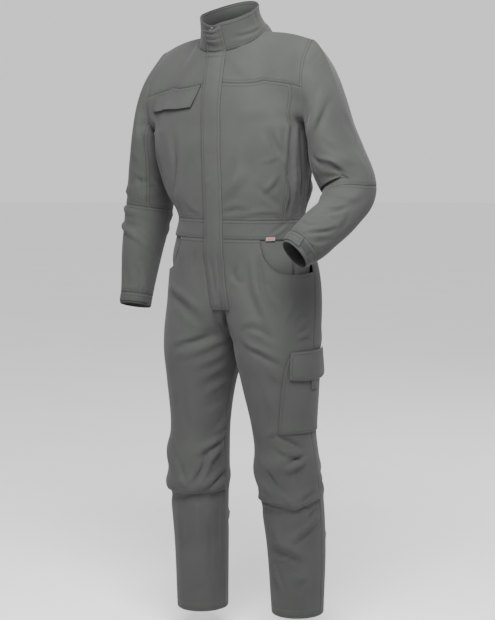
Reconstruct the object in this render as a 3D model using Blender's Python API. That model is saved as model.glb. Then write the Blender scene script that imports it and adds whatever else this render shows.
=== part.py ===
"""A worker's boiler suit in the hollow form it has when worn.

Stance coordinates: x to the wearer's left, y to the back, z up from the
trouser hems, in metres. The finished part is moved so that its origin is the
middle of the neck seam, where the wearer's neck and shoulders hold it.

Every piece of cloth is a grid of points on the worn form, given a wall by a
second grid further in. Neighbouring pieces use the same points along their
seam, drawn back a little from it, and what lies on a panel is made from that
panel's own points, moved out.
"""

import bmesh
import bpy
import numpy as np
from mathutils import Matrix

# --- cloth -----------------------------------------------------------------
WALL = 0.0016  # twill with its turned allowances
SEAM_GAP = 0.0003
COLLAR_WALL = 0.0024  # two layers
LIFT = 0.0011  # from a panel to the flap or pocket that lies on it
PUFF = 0.006  # how far the thigh pocket stands out in its middle

# --- heights above the hems ------------------------------------------------
POCKET_SIDE = 0.890  # where a hip pocket's mouth meets the side seam
FLY_END = 0.796
BAND_LOW = 0.972
BAND_HIGH = 1.019
ARMPIT = 1.240
NECK_CENTRE = np.array((-0.012, -0.047, 1.462))

# --- the front flap over the zip -------------------------------------------
FLAP_HALF = 0.026
FLAP_WALL = 0.0020
ZIP_LIFT = 0.0017
ZIP_WALL = 0.0010
SLIDER_LIFT = 0.0028
SLIDER_WALL = 0.0020

SIDES = {"L": 1.0, "R": -1.0}
FACES = {"front": -1.0, "back": 1.0}

# --- columns of every grid -------------------------------------------------
COLUMNS = {"front": 10, "back": 9}  # from the middle of the body to its side
PRINCESS = 7  # the front's column with the long seam
NECK_COLUMNS = {"front": 5, "back": 4}  # the other columns end on the shoulder
SCOOP_COLUMN = 4  # where a hip pocket's mouth leaves the waistband


class Table:
    """Rows of named columns, read at any place between them on a smooth curve."""

    def __init__(self, names, *rows):
        self.names = names.split()
        self.rows = np.array(rows, float)

    def at(self, place):
        known, values = self.rows[:, 0], self.rows[:, 1:]
        slopes = np.gradient(values, known, axis=0)
        place = np.clip(np.asarray(place, float), known[0], known[-1])
        k = np.clip(np.searchsorted(known, place, side="right") - 1, 0, len(known) - 2)
        step = known[k + 1] - known[k]
        f = ((place - known[k]) / step)[..., None]
        step = step[..., None]
        found = (
            values[k] * (1 + 2 * f) * (1 - f) ** 2
            + slopes[k] * step * f * (1 - f) ** 2
            + values[k + 1] * f**2 * (3 - 2 * f)
            - slopes[k + 1] * step * f**2 * (1 - f)
        )
        return {name: found[..., n] for n, name in enumerate(self.names[1:])}

    def point(self, place):
        row = self.at(place)
        return np.stack((row["x"], row["y"], row["z"]), -1)


# --- the trousers and the trunk, section by section ------------------------
# centre: from the middle plane out to the middle of the leg's section, 0 where
# the body is one ring. seam_y: the side seam. out, front, back: from there.
SECTION = "height centre seam_y out front back power"
TRUNK = (
    (0.715, 0.1055, -0.024, 0.1055, 0.122, 0.118, 2.0),
    (0.735, 0.1010, -0.021, 0.1095, 0.126, 0.123, 2.0),
    (0.760, 0.0920, -0.017, 0.1180, 0.130, 0.128, 2.0),
    (0.800, 0.0750, -0.012, 0.1345, 0.133, 0.134, 2.0),
    (0.850, 0.0480, -0.010, 0.1600, 0.134, 0.135, 2.05),
    (0.900, 0.0220, -0.012, 0.1810, 0.133, 0.126, 2.1),
    (0.940, 0.0080, -0.015, 0.1860, 0.134, 0.113, 2.1),
    (BAND_LOW, 0.0, -0.018, 0.184, 0.132, 0.105, 2.1),
    (BAND_HIGH, 0.0, -0.020, 0.172, 0.130, 0.104, 2.1),
)
UPPER_TRUNK = {
    "L": (
        (1.080, 0.0, -0.022, 0.183, 0.130, 0.115, 2.15),
        (1.150, 0.0, -0.022, 0.192, 0.131, 0.122, 2.2),
        (1.200, 0.0, -0.022, 0.200, 0.131, 0.126, 2.2),
        (ARMPIT, 0.0, -0.022, 0.206, 0.129, 0.128, 2.2),
    ),
    "R": (
        (1.080, 0.0, -0.022, 0.195, 0.130, 0.115, 2.45),
        (1.150, 0.0, -0.022, 0.213, 0.131, 0.122, 2.7),
        (1.200, 0.0, -0.022, 0.222, 0.131, 0.126, 2.9),
        (ARMPIT, 0.0, -0.022, 0.226, 0.129, 0.128, 2.9),
    ),
}
WIDER = {"L": 0.0, "R": 0.020}  # the armhole's foot, with the fuller right side
LEGS = {
    "L": (
        (0.000, 0.1120, 0.066, 0.0665, 0.070, 0.070, 2.0),
        (0.190, 0.1165, 0.048, 0.0760, 0.077, 0.077, 2.0),
        (0.300, 0.1180, 0.026, 0.0805, 0.082, 0.081, 2.0),
        (0.380, 0.1180, 0.010, 0.0800, 0.084, 0.082, 2.0),
        (0.500, 0.1150, -0.012, 0.0800, 0.086, 0.084, 2.0),
        (0.605, 0.1110, -0.024, 0.0920, 0.102, 0.098, 2.0),
        (0.690, 0.1075, -0.026, 0.1030, 0.119, 0.114, 2.0),
    ),
    "R": (
        (0.000, 0.1310, -0.012, 0.0655, 0.070, 0.070, 2.0),
        (0.190, 0.1300, -0.020, 0.0700, 0.074, 0.074, 2.0),
        (0.300, 0.1300, -0.028, 0.0740, 0.079, 0.078, 2.0),
        (0.380, 0.1290, -0.030, 0.0765, 0.083, 0.080, 2.0),
        (0.500, 0.1250, -0.030, 0.0760, 0.083, 0.082, 2.0),
        (0.605, 0.1180, -0.032, 0.0880, 0.098, 0.095, 2.0),
        (0.690, 0.1085, -0.027, 0.1030, 0.118, 0.113, 2.0),
    ),
}
BODY = {side: Table(SECTION, *LEGS[side], *TRUNK, *UPPER_TRUNK[side]) for side in SIDES}
LEAN = Table(
    "height x", (0.0, 0.0), (0.65, 0.0), (0.83, -0.004), (1.0, -0.001), (ARMPIT, -0.007), (1.45, -0.012)
)
# How far the closed front is pulled to the wearer's left: heights, then distances.
FLY_PULL = ((0.735, 0.800, 0.930), (0.0, 0.0145, 0.0))
# How far round from the side seam the middle columns spread, in degrees.
SPREAD = Table(
    "height angle", (0.0, 180), (0.55, 180), (0.66, 170), (0.75, 140), (0.86, 108), (BAND_LOW, 90), (2, 90)
)
ROLL = 0.05  # the right shoulder hangs lower: rise for each metre to the left

# --- the chest, between the armpit and the neck ----------------------------
YOKE_LEVEL = 0.62
CENTRE = {
    "front": Table(
        "level x y z",
        (0.0, -0.007, -0.151, ARMPIT),
        (0.3, -0.009, -0.149, 1.297),
        (YOKE_LEVEL, -0.010, -0.138, 1.356),
        (1.0, -0.012, -0.118, 1.427),
    ),
    "back": Table(
        "level x y z",
        (0.0, -0.007, 0.106, ARMPIT),
        (0.3, -0.009, 0.109, 1.315),
        (YOKE_LEVEL, -0.010, 0.089, 1.410),
        (1.0, -0.012, 0.023, 1.512),
    ),
}
RISE = Table("level share", (0, 0), (0.32, 0.23), (YOKE_LEVEL, 0.48), (0.87, 0.80), (1, 1))
SAG = {"front": 0.12, "back": 0.0}  # less rise half-way between the middle and the armhole
ARMHOLE = {
    "front": Table(
        "level x y z",
        (0.0, 0.206, -0.022, 1.240),
        (0.25, 0.217, -0.079, 1.255),
        (0.45, 0.224, -0.093, 1.291),
        (YOKE_LEVEL, 0.226, -0.099, 1.329),
        (0.82, 0.222, -0.079, 1.392),
        (1.0, 0.217, -0.030, 1.446),
    ),
    "back": Table(
        "level x y z",
        (0.0, 0.206, -0.022, 1.240),
        (0.25, 0.209, 0.026, 1.260),
        (0.45, 0.208, 0.053, 1.297),
        (YOKE_LEVEL, 0.208, 0.062, 1.337),
        (0.82, 0.212, 0.042, 1.400),
        (1.0, 0.217, -0.030, 1.446),
    ),
}
NECK = {"half_width": 0.089, "front": 0.071, "back": 0.070, "slope": 0.60}
NECK_FRONT_Z = 1.427
SHOULDER_TURN = np.radians(96)  # round the neck, from the front to the shoulder seam
RIM = {"half_width": 0.072, "front": 0.076, "back": 0.075, "slope": 0.42}
RIM_CENTRE = np.array((-0.005, -0.073))
RIM_FRONT_Z = 1.493
# The rim falls open at the zip, and stands up beside it on the wearer's right.
RIM_TURNS = (0.0, 0.16, 0.35, 0.56, 0.79, 1.05, 1.31, 1.60, 2.09, 2.62, 3.15)
RIM_RISE = {
    "L": (-0.005, -0.003, 0.0, 0.0, 0.0, 0.0, 0.0, 0.0, 0.0, 0.0, 0.0),
    "R": (-0.005, -0.003, 0.000, 0.004, 0.008, 0.010, 0.009, 0.006, 0.002, 0.0, 0.0),
}

# --- the arms --------------------------------------------------------------
FIRST_RING = 0.22
ELBOW = {"L": 0.50, "R": 0.55}
ELBOW_SEAM = {"L": 0.54, "R": 0.565}
SEAM_SLANT = {"L": 0.055, "R": 0.0}  # how much later the seam crosses the inner side
SLANT_TURN = 0.12  # the turn at which it crosses latest
HEAD = {"L": 0.10, "R": 0.13}  # how far the sleeve's head stands out
CUFF = 0.955
ARM_COLUMNS = "place x y z out front"
ARM = {
    "L": Table(
        ARM_COLUMNS,
        (0.00, 0.213, -0.025, 1.330, 0.060, 0.085),
        (FIRST_RING, 0.254, -0.022, 1.238, 0.051, 0.080),
        (0.35, 0.272, -0.014, 1.165, 0.066, 0.079),
        (ELBOW["L"], 0.303, -0.016, 1.092, 0.066, 0.068),
        (0.62, 0.305, -0.062, 1.046, 0.056, 0.055),
        (0.80, 0.292, -0.128, 1.004, 0.053, 0.053),
        (CUFF, 0.271, -0.175, 0.965, 0.047, 0.047),
        (1.00, 0.259, -0.196, 0.947, 0.040, 0.040),
    ),
    "R": Table(
        ARM_COLUMNS,
        (0.00, -0.233, -0.025, 1.310, 0.060, 0.085),
        (FIRST_RING, -0.272, -0.024, 1.225, 0.039, 0.082),
        (0.35, -0.283, -0.016, 1.155, 0.050, 0.077),
        (ELBOW["R"], -0.299, -0.006, 1.045, 0.057, 0.071),
        (0.75, -0.305, -0.033, 0.930, 0.050, 0.060),
        (CUFF, -0.300, -0.066, 0.812, 0.041, 0.044),
        (1.00, -0.2995, -0.073, 0.785, 0.040, 0.042),
    ),
}


def rolled(points):
    """Upper-body points with the right shoulder let down."""
    points = np.array(points)
    points[..., 2] += ROLL * points[..., 0]
    return points


def body_point(side, face, u, height):
    """On the trousers or trunk: u is 0 at the middle or inner leg, 1 at the side seam."""
    u, height = np.broadcast_arrays(np.asarray(u, float), np.asarray(height, float))
    row = BODY[side].at(height)
    power, centre = row["power"], np.maximum(row["centre"], 0.0)
    start = np.arccos(-np.minimum(centre / row["out"], 1.0) ** (power / 2))
    wide = np.radians(SPREAD.at(height)["angle"])
    angle = wide * (1 - u) + (start - wide) * (1 - u) ** 4
    cosine, sine = np.cos(angle), np.sin(angle)
    across = np.sign(cosine) * np.abs(cosine) ** (2 / power)
    depth = np.abs(sine) ** (2 / power)
    x = SIDES[side] * (centre + row["out"] * across) + LEAN.at(height)["x"]
    if face == "front":
        x = x + np.interp(height, *FLY_PULL) * (1 - u) ** 2
    y = row["seam_y"] + FACES[face] * row[face] * depth
    upper = np.clip((height - BAND_HIGH) / (ARMPIT - BAND_HIGH), 0, 1)
    return np.stack((x, y, height + ROLL * x * upper), -1)


def neck_point(side, turn, ring, centre, front_z):
    """On the neck seam or the collar's rim, turned from the front round to the back."""
    deep = np.where(np.cos(turn) > 0, ring["front"], ring["back"])
    x = centre[0] + SIDES[side] * ring["half_width"] * np.sin(turn)
    y = centre[1] - deep * np.cos(turn)
    z = front_z + ring["slope"] * (y - centre[1] + ring["front"])
    return rolled(np.stack((x, y, z), -1))


def seam_turn(face, u):
    """How far round the neck a column is, with u from the middle to the shoulder seam."""
    if face == "front":
        return SHOULDER_TURN * u
    return np.pi - (np.pi - SHOULDER_TURN) * u


def top_point(side, face, u):
    """The upper edge of a front or back: half the neck's side, then the shoulder seam."""
    u = np.asarray(u, float)[..., None]
    turn = seam_turn(face, np.clip(u[..., 0] * 2, 0, 1))
    neck = neck_point(side, turn, NECK, NECK_CENTRE, NECK_FRONT_Z)
    corner = neck_point(side, np.array(SHOULDER_TURN), NECK, NECK_CENTRE, NECK_FRONT_Z)
    tip = armhole_point(side, "front", 1.0)
    along = np.clip(u * 2 - 1, 0, 1)
    seam = corner + (tip - corner) * along
    seam[..., 2] += 0.006 * np.sin(np.pi * along[..., 0])
    return np.where(u < 0.5, neck, seam)


def armhole_point(side, face, level):
    point = ARMHOLE[face].point(level)
    level = np.asarray(level, float)
    out = point[..., 0] + WIDER[side] * (1 - level) ** 1.5
    point[..., 0] = SIDES[side] * out - 0.007 - 0.003 * level
    return rolled(point)


def centre_point(face, level):
    return rolled(CENTRE[face].point(level))


def chest_point(side, face, u, level):
    """Between the armpit's section and the neck and shoulder the cloth rises and then
    rolls back; the middle line and the armhole pull it to themselves near them."""
    u, level = np.broadcast_arrays(np.asarray(u, float), np.asarray(level, float))

    def loft(u):
        rise = RISE.at(level)["share"] - SAG[face] * level * (1 - level) * np.sin(np.pi * u)
        low, high = body_point(side, face, u, ARMPIT), top_point(side, face, u)
        share = np.stack((level, 1 - np.sqrt(np.clip(1 - rise**2, 0, 1)), rise), -1)
        return low + (high - low) * share

    middle = centre_point(face, level) - loft(np.zeros(u.shape))
    edge = armhole_point(side, face, level) - loft(np.ones(u.shape))
    return loft(u) + middle * (1 - u[..., None]) ** 2 + edge * u[..., None] ** 3


def unit(vectors):
    return vectors / np.linalg.norm(vectors, axis=-1, keepdims=True)


def ring_point(side, turn, place):
    """On the sleeve's rings: turn is 0 at the body, 0.25 in front, 0.5 outside."""
    turn, place = np.broadcast_arrays(np.asarray(turn, float), np.asarray(place, float))
    row = ARM[side].at(place)
    ahead = unit(ARM[side].point(place + 0.03) - ARM[side].point(place - 0.03))
    aside = np.array((SIDES[side], 0.0, 0.0))
    aside = unit(aside - ahead * (ahead @ aside)[..., None])
    forward = SIDES[side] * np.cross(ahead, aside)
    angle = 2 * np.pi * turn
    point = (
        ARM[side].point(place)
        - aside * (row["out"] * np.cos(angle))[..., None]
        + forward * (row["front"] * np.sin(angle))[..., None]
    )
    return point, ahead


def armhole_loop(side, turn):
    """The armhole from the armpit up its front, over the shoulder and down its back."""
    turn = np.asarray(turn, float)
    front = armhole_point(side, "front", np.clip(2 * turn, 0, 1))
    back = armhole_point(side, "back", np.clip(2 - 2 * turn, 0, 1))
    return np.where(turn[..., None] <= 0.5, front, back)


def sleeve_point(side, turn, place):
    turn, place = np.broadcast_arrays(np.asarray(turn, float), np.asarray(place, float))
    ring, ahead = ring_point(side, turn, np.maximum(place, FIRST_RING))
    f = np.clip(place / FIRST_RING, 0, 1)[..., None]
    over = np.sin(np.pi * turn)[..., None] ** 2  # 0 at the armpit, 1 on the shoulder
    leave = np.array((SIDES[side], 0.0, -0.3)) * (0.01 + HEAD[side] * over)
    arrive = ahead * (0.03 + 0.18 * over)
    cap = (
        armhole_loop(side, turn) * (1 + 2 * f) * (1 - f) ** 2
        + leave * f * (1 - f) ** 2
        + ring * f**2 * (3 - 2 * f)
        - arrive * f**2 * (1 - f)
    )
    return np.where(f < 1, cap, ring)


def collar_point(side, turn, up):
    """From the neck seam (up 0) to the rim (up 1), a little hollow between them."""
    turn, up = np.broadcast_arrays(np.asarray(turn, float), np.asarray(up, float))
    low = neck_point(side, turn, NECK, NECK_CENTRE, NECK_FRONT_Z)
    high = neck_point(side, turn, RIM, RIM_CENTRE, RIM_FRONT_Z)
    high[..., 2] += np.interp(turn, RIM_TURNS, RIM_RISE[side])
    point = low + (high - low) * up[..., None]
    hollow = 0.004 * np.sin(np.pi * up) * (1 - 0.6 * np.cos(turn))
    centre = NECK_CENTRE[:2] + (RIM_CENTRE - NECK_CENTRE[:2]) * up[..., None]
    point[..., :2] -= unit(point[..., :2] - centre) * hollow[..., None]
    return point


# --- where the columns and rows of the grids lie ---------------------------
# A row's place is its height up to the armpit, and the armpit's height plus the
# chest's level above it.
LEG_ROWS = (
    0.0, 0.012, 0.06, 0.11, 0.16, 0.205, 0.245, 0.275, 0.296, 0.32, 0.35, 0.385, 0.42,
    0.455, 0.49, 0.53, 0.575, 0.62, 0.66, 0.69, 0.708, 0.715, 0.722, 0.735, 0.755,
    FLY_END, 0.83, 0.86,
)  # fmt: skip
MOUTH_ROWS = 4  # from the last of those to the waistband or the pocket's mouth
SEAT_ROWS = (0.90, 0.936, BAND_LOW)
BAND_ROWS = (BAND_LOW, (BAND_LOW + BAND_HIGH) / 2, BAND_HIGH)
TRUNK_ROWS = (BAND_HIGH, 1.045, 1.08, 1.115, 1.15, 1.18, 1.21, ARMPIT)
LEVELS = (0.0, 0.16, 0.32, 0.47, YOKE_LEVEL, 0.74, 0.87, 1.0)
UPPER_ROWS = TRUNK_ROWS + tuple(ARMPIT + level for level in LEVELS[1:])
YOKE_ROW = UPPER_ROWS.index(ARMPIT + YOKE_LEVEL)
FRONT_KNOTS = Table(
    "place fourth fifth princess",
    (0.0, 0.40, 0.50, 0.70),
    (0.86, 0.42, 0.51, 0.70),
    (BAND_LOW, 0.43, 0.52, 0.70),
    (BAND_HIGH, 0.43, 0.52, 0.70),
    (1.10, 0.40, 0.49, 0.68),
    (ARMPIT, 0.38, 0.475, 0.64),
    (ARMPIT + 0.16, 0.40, 0.50, 0.69),
    (ARMPIT + YOKE_LEVEL, 0.48, 0.60, 0.84),
    (ARMPIT + 1.0, 0.398, 0.50, 0.70),
)
MOUTH = Table(
    "column u height",
    (4, 0.430, BAND_LOW),
    (5, 0.440, 0.946),
    (6, 0.480, 0.916),
    (7, 0.565, 0.894),
    (8, 0.690, 0.886),
    (9, 0.845, 0.886),
    (10, 1.000, POCKET_SIDE),
)
COLLAR_ROWS = (0.0, 0.2, 0.45, 0.75, 1.0)
UPPER_ARM = (0.0, 0.045, 0.09, 0.135, 0.18, FIRST_RING, 0.265, 0.31, 0.35, 0.40, 0.45)
FOREARM_STEPS = 9
SLEEVE_SEAM = 2  # the column of the under sleeve's seams, in front and behind


def skin_point(side, face, u, place):
    """On the trousers, trunk or chest, by a row's place."""
    place = np.asarray(place, float)
    low = body_point(side, face, u, np.minimum(place, ARMPIT))
    high = chest_point(side, face, u, np.clip(place - ARMPIT, 0, 1))
    return np.where((place > ARMPIT)[..., None], high, low)


def flap_column(side, place):
    """How far from the middle the front flap's edge lies, as a share of the row."""
    u = np.linspace(0, 0.3, 61)
    x = skin_point(side, "front", u, np.full(u.shape, place))[:, 0]
    edge = np.interp(FLAP_HALF, np.abs(x - x[0]), u)
    return edge if place >= FLY_END else min(edge, 0.1)


def columns(side, face, place):
    if face == "back":
        top = np.clip(place - ARMPIT, 0, 1)
        corner = 4 / 9 * (1 - top) + 0.5 * top
        return np.interp(range(10), (0, NECK_COLUMNS["back"], 9), (0, corner, 1))
    knots = {name: float(values) for name, values in FRONT_KNOTS.at(place).items()}
    return np.interp(
        range(11),
        (0, 1, 4, 5, PRINCESS, 10),
        (0, flap_column(side, place), knots["fourth"], knots["fifth"], knots["princess"], 1),
    )


def skin_grid(side, face, places):
    rows = [skin_point(side, face, u := columns(side, face, v), np.full(u.shape, v)) for v in places]
    return np.stack(rows, 1)


def mouth_grid(side):
    """The leg's front from the last leg row up to the waistband and the pocket's mouth."""
    low_u = columns(side, "front", LEG_ROWS[-1])
    top_u, top_z = columns(side, "front", BAND_LOW), np.full(11, BAND_LOW)
    mouth = MOUTH.at(np.arange(SCOOP_COLUMN, 11))
    top_u[SCOOP_COLUMN:], top_z[SCOOP_COLUMN:] = mouth["u"], mouth["height"]
    share = np.arange(1, MOUTH_ROWS + 1) / MOUTH_ROWS
    u = low_u[:, None] + (top_u - low_u)[:, None] * share
    height = LEG_ROWS[-1] + (top_z - LEG_ROWS[-1])[:, None] * share
    return body_point(side, "front", u, height)


def sleeve_turns():
    front = np.array(LEVELS) / 2
    return np.concatenate((front, 1 - front[-2::-1]))


def arm_places(side, turns, places):
    """The rows' places at every turn, slanted near the elbow seam as that is."""
    near = np.clip(1 - np.abs(places - ELBOW_SEAM[side]) / 0.17, 0, 1)
    return places + SEAM_SLANT[side] * near * np.cos(2 * np.pi * (turns - SLANT_TURN))


def collar_turns():
    front = seam_turn("front", 2 * columns("L", "front", ARMPIT + 1.0)[:6])
    back = seam_turn("back", 2 * columns("L", "back", ARMPIT + 1.0)[:5])
    return np.concatenate((front, back[-2::-1]))


# --- walls -----------------------------------------------------------------
def outward(points):
    """Unit normals of a grid, on the side from which its rows run anticlockwise."""
    across = np.gradient(points, axis=0)
    up = np.gradient(points, axis=1)
    normal = np.cross(across, up)
    length = np.linalg.norm(normal, axis=-1, keepdims=True)
    return normal / np.maximum(length, 1e-12)


def share_normals(grids):
    """Outward normals of all the grids, averaged where the points of two of them meet."""
    points = np.concatenate([grid.reshape(-1, 3) for grid in grids.values()])
    signs = {name: 1.0 if faces_out(name) else -1.0 for name in grids}
    normals = [(outward(grid) * signs[name]).reshape(-1, 3) for name, grid in grids.items()]
    keys = np.floor(points / 2e-4 + 0.371).astype(int)
    _, where = np.unique(keys, axis=0, return_inverse=True)
    where = where.ravel()
    total = np.zeros((where.max() + 1, 3))
    np.add.at(total, where, np.concatenate(normals))
    found, start = {}, 0
    for name, grid in grids.items():
        count = grid.shape[0] * grid.shape[1]
        found[name] = unit(total[where[start : start + count]]).reshape(grid.shape)
        start += count
    return found


def draw_back(points, gap):
    """The grid with its four edges moved in by half a seam's gap."""
    moved = points.copy()
    moved[0] += unit(points[1] - points[0]) * gap
    moved[-1] += unit(points[-2] - points[-1]) * gap
    moved[:, 0] += unit(points[:, 1] - points[:, 0]) * gap
    moved[:, -1] += unit(points[:, -2] - points[:, -1]) * gap
    return moved


def material(name, colour, roughness=0.9, metallic=0.0):
    made = bpy.data.materials.new(name)
    made.use_nodes = True
    shader = made.node_tree.nodes["Principled BSDF"]
    shader.inputs["Base Color"].default_value = (*colour, 1.0)
    shader.inputs["Roughness"].default_value = roughness
    shader.inputs["Metallic"].default_value = metallic
    return made


def sew(name, outer, inner, colour, roughness=0.9, metallic=0.0):
    """A piece cut flat, one unit for each grid step, thickened, then put in place."""
    across, up = outer.shape[0] - 1, outer.shape[1] - 1
    flat = Matrix.Diagonal((across, up, 1, 1)) @ Matrix.Translation((0.5, 0.5, 0))
    bm = bmesh.new()
    bmesh.ops.create_grid(bm, x_segments=across, y_segments=up, size=0.5, matrix=flat)
    under = bmesh.ops.extrude_face_region(bm, geom=bm.faces[:], use_keep_orig=True)
    low = [item for item in under["geom"] if isinstance(item, bmesh.types.BMVert)]
    bmesh.ops.translate(bm, vec=(0, 0, -1), verts=low)
    bmesh.ops.recalc_face_normals(bm, faces=bm.faces[:])
    for vert in bm.verts:
        place = outer if vert.co.z > -0.5 else inner
        vert.co = place[round(vert.co.x), round(vert.co.y)] - NECK_CENTRE
    mesh = bpy.data.meshes.new(name)
    bm.to_mesh(mesh)
    bm.free()
    mesh.shade_smooth()
    mesh.set_sharp_from_angle(angle=np.radians(50))
    mesh.materials.append(material(name, colour, roughness, metallic))
    made = bpy.data.objects.new(name, mesh)
    bpy.context.scene.collection.objects.link(made)
    return made


def between(points, across, up):
    """Points of a grid at fractions of its columns and rows."""
    i = np.clip(np.floor(across).astype(int), 0, points.shape[0] - 2)
    j = np.clip(np.floor(up).astype(int), 0, points.shape[1] - 2)
    a, b = (across - i)[..., None], (up - j)[..., None]
    return (
        points[i, j] * (1 - a) * (1 - b)
        + points[i + 1, j] * a * (1 - b)
        + points[i, j + 1] * (1 - a) * b
        + points[i + 1, j + 1] * a * b
    )


def lay_on(name, panel, across, up, colour, lift=LIFT, wall=WALL):
    """A piece that lies on a panel: made from the panel's points, moved out."""
    across, up = np.broadcast_arrays(across, up)
    base = between(panel["points"], across, up)
    out = unit(between(panel["normals"], across, up))
    low = base + out * np.broadcast_to(lift, across.shape)[..., None]
    high = low + out * wall
    turned = np.cross(high[1, 0] - high[0, 0], high[0, 1] - high[0, 0]) @ out[0, 0] < 0
    order = -1 if turned else 1
    sew(name, high[::order], low[::order], colour)
    return {"points": high, "normals": out}


def ramp(start, end, steps):
    return np.linspace(start, end, steps + 1)


# --- the skin: every piece that is sewn edge to edge -------------------------
TWILL = (0.150, 0.150, 0.148)
TWILL_DARK = (0.110, 0.111, 0.110)
LABEL_RED = (0.42, 0.07, 0.03)
ZIP_GREY = (0.30, 0.30, 0.30)
METAL = (0.45, 0.45, 0.46)

# The largest folds, each along a line from one place to the other: a share of the
# row's width and a height or place, then how wide and how far out it stands.
FOLD = "grid u0 place0 u1 place1 width out".split()
FOLDS = (
    ("leg_front_R", 0.08, 0.340, 0.95, 0.337, 0.020, 0.009),
    ("leg_front_R", 0.10, 0.303, 0.95, 0.301, 0.016, -0.005),
    ("leg_front_R", 0.92, 0.455, 0.50, 0.352, 0.020, 0.007),
    ("leg_front_R", 0.10, 0.435, 0.40, 0.355, 0.018, 0.005),
    ("leg_front_L", 0.05, 0.420, 0.55, 0.310, 0.020, 0.008),
    ("leg_front_L", 0.30, 0.400, 0.85, 0.425, 0.022, 0.006),
    ("leg_front_L", 0.10, 0.283, 0.90, 0.292, 0.016, -0.004),
    ("leg_back_L", 0.10, 0.340, 0.90, 0.355, 0.022, 0.006),
    ("leg_back_R", 0.10, 0.350, 0.90, 0.330, 0.022, 0.006),
    ("leg_back_L", 0.30, 0.690, 0.85, 0.720, 0.022, 0.005),
    ("leg_back_R", 0.30, 0.690, 0.85, 0.720, 0.022, 0.005),
    ("sleeve_L", 0.30, 0.30, 0.44, 0.42, 0.018, 0.006),
    ("sleeve_L", 0.14, 0.40, 0.40, 0.42, 0.015, -0.005),
    ("forearm_L", 0.10, 0.62, 0.36, 0.62, 0.015, 0.005),
    ("forearm_R", 0.10, 0.62, 0.45, 0.60, 0.015, 0.005),
    ("forearm_R", 0.12, 0.71, 0.42, 0.66, 0.015, 0.004),
    ("sleeve_R", 0.10, 0.47, 0.40, 0.50, 0.016, 0.005),
    ("front_L", 0.72, 1.06, 0.86, 1.15, 0.018, 0.005),
    ("front_R", 0.72, 1.06, 0.62, 1.22, 0.018, 0.006),
    ("back_L", 0.30, 1.04, 0.80, 1.10, 0.022, 0.006),
    ("back_R", 0.30, 1.04, 0.80, 1.10, 0.022, 0.006),
)


def form_point(grid, u, place):
    """On the worn form by a grid's own coordinates, for the lines of its folds."""
    kind, side = grid.rsplit("_", 1)
    if kind in ("sleeve", "forearm"):
        return sleeve_point(side, u, place)
    return skin_point(side, "back" if "back" in kind else "front", u, place)


def fold(grids, normals):
    """Every grid's points moved out along their normals by the folds near them."""
    share = np.linspace(0, 1, 25)
    moves = {name: np.zeros(grid.shape[:2]) for name, grid in grids.items()}
    for values in FOLDS:
        row = dict(zip(FOLD, values))
        u = row["u0"] + (row["u1"] - row["u0"]) * share
        line = form_point(row["grid"], u, row["place0"] + (row["place1"] - row["place0"]) * share)
        height = row["out"] * np.sin(np.pi * (0.12 + 0.76 * share))
        for name, points in grids.items():
            away = np.linalg.norm(points[..., None, :] - line, axis=-1)
            near = away.argmin(-1)
            moves[name] += height[near] * np.exp(-((away.min(-1) / row["width"]) ** 2))
    return {name: grid + normals[name] * moves[name][..., None] for name, grid in grids.items()}


def skin_grids():
    grids = {}
    for side in SIDES:
        leg = skin_grid(side, "front", LEG_ROWS)
        grids["leg_front_" + side] = np.concatenate((leg, mouth_grid(side)), 1)
        grids["leg_back_" + side] = skin_grid(side, "back", LEG_ROWS + SEAT_ROWS)
        grids["band_front_" + side] = skin_grid(side, "front", BAND_ROWS)
        grids["band_back_" + side] = skin_grid(side, "back", BAND_ROWS)
        grids["front_" + side] = skin_grid(side, "front", UPPER_ROWS)
        grids["back_" + side] = skin_grid(side, "back", UPPER_ROWS)
        turns = sleeve_turns()[:, None]
        upper = arm_places(side, turns, np.array(UPPER_ARM + (ELBOW_SEAM[side],)))
        lower = arm_places(side, turns, ramp(ELBOW_SEAM[side], CUFF, FOREARM_STEPS))
        grids["sleeve_" + side] = sleeve_point(side, turns, upper)
        grids["forearm_" + side] = sleeve_point(side, turns, lower)
        grids["cuff_" + side] = sleeve_point(side, turns, ramp(CUFF, 1.0, 2))
        grids["collar_" + side] = collar_point(side, collar_turns()[:, None], np.array(COLLAR_ROWS))
    return grids


def faces_out(name):
    """Whether a grid's own order already puts its outer side outwards."""
    return name.endswith("_L") == name.startswith(("leg_front", "band_front", "front", "collar"))


def gather(grids, normals):
    """The elastic at the back pulls the waistband into small waves."""
    for side in SIDES:
        wave = 0.0016 * (-1.0) ** np.arange(1, COLUMNS["back"])
        name = "band_back_" + side
        grids[name][1:-1, 1] += normals[name][1:-1, 1] * wave[:, None]


class Skin:
    """The worn form's grids, cut into the pieces that are sewn."""

    def __init__(self):
        form = skin_grids()
        self.points = fold(form, share_normals(form))
        self.normals = share_normals(self.points)
        gather(self.points, self.normals)

    def part(self, name, columns=slice(None), rows=slice(None)):
        """A piece of one grid, its columns in the order that faces it outwards."""
        order = 1 if faces_out(name) else -1
        return [where[name][columns, rows][::order] for where in (self.points, self.normals)]

    def panel(self, name, rows=slice(None)):
        return {"points": self.points[name][:, rows], "normals": self.normals[name][:, rows]}


def join(*parts):
    """Parts side by side as one, the shared column kept once."""
    joined = []
    for arrays in zip(*parts):
        joined.append(np.concatenate([arrays[0]] + [array[1:] for array in arrays[1:]]))
    return joined


def cloth(name, part, colour=TWILL, wall=WALL, gap=SEAM_GAP / 2 + 0.0001):
    points, normals = part
    sew(name, draw_back(points, gap), draw_back(points - normals * wall, gap), colour)


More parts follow.
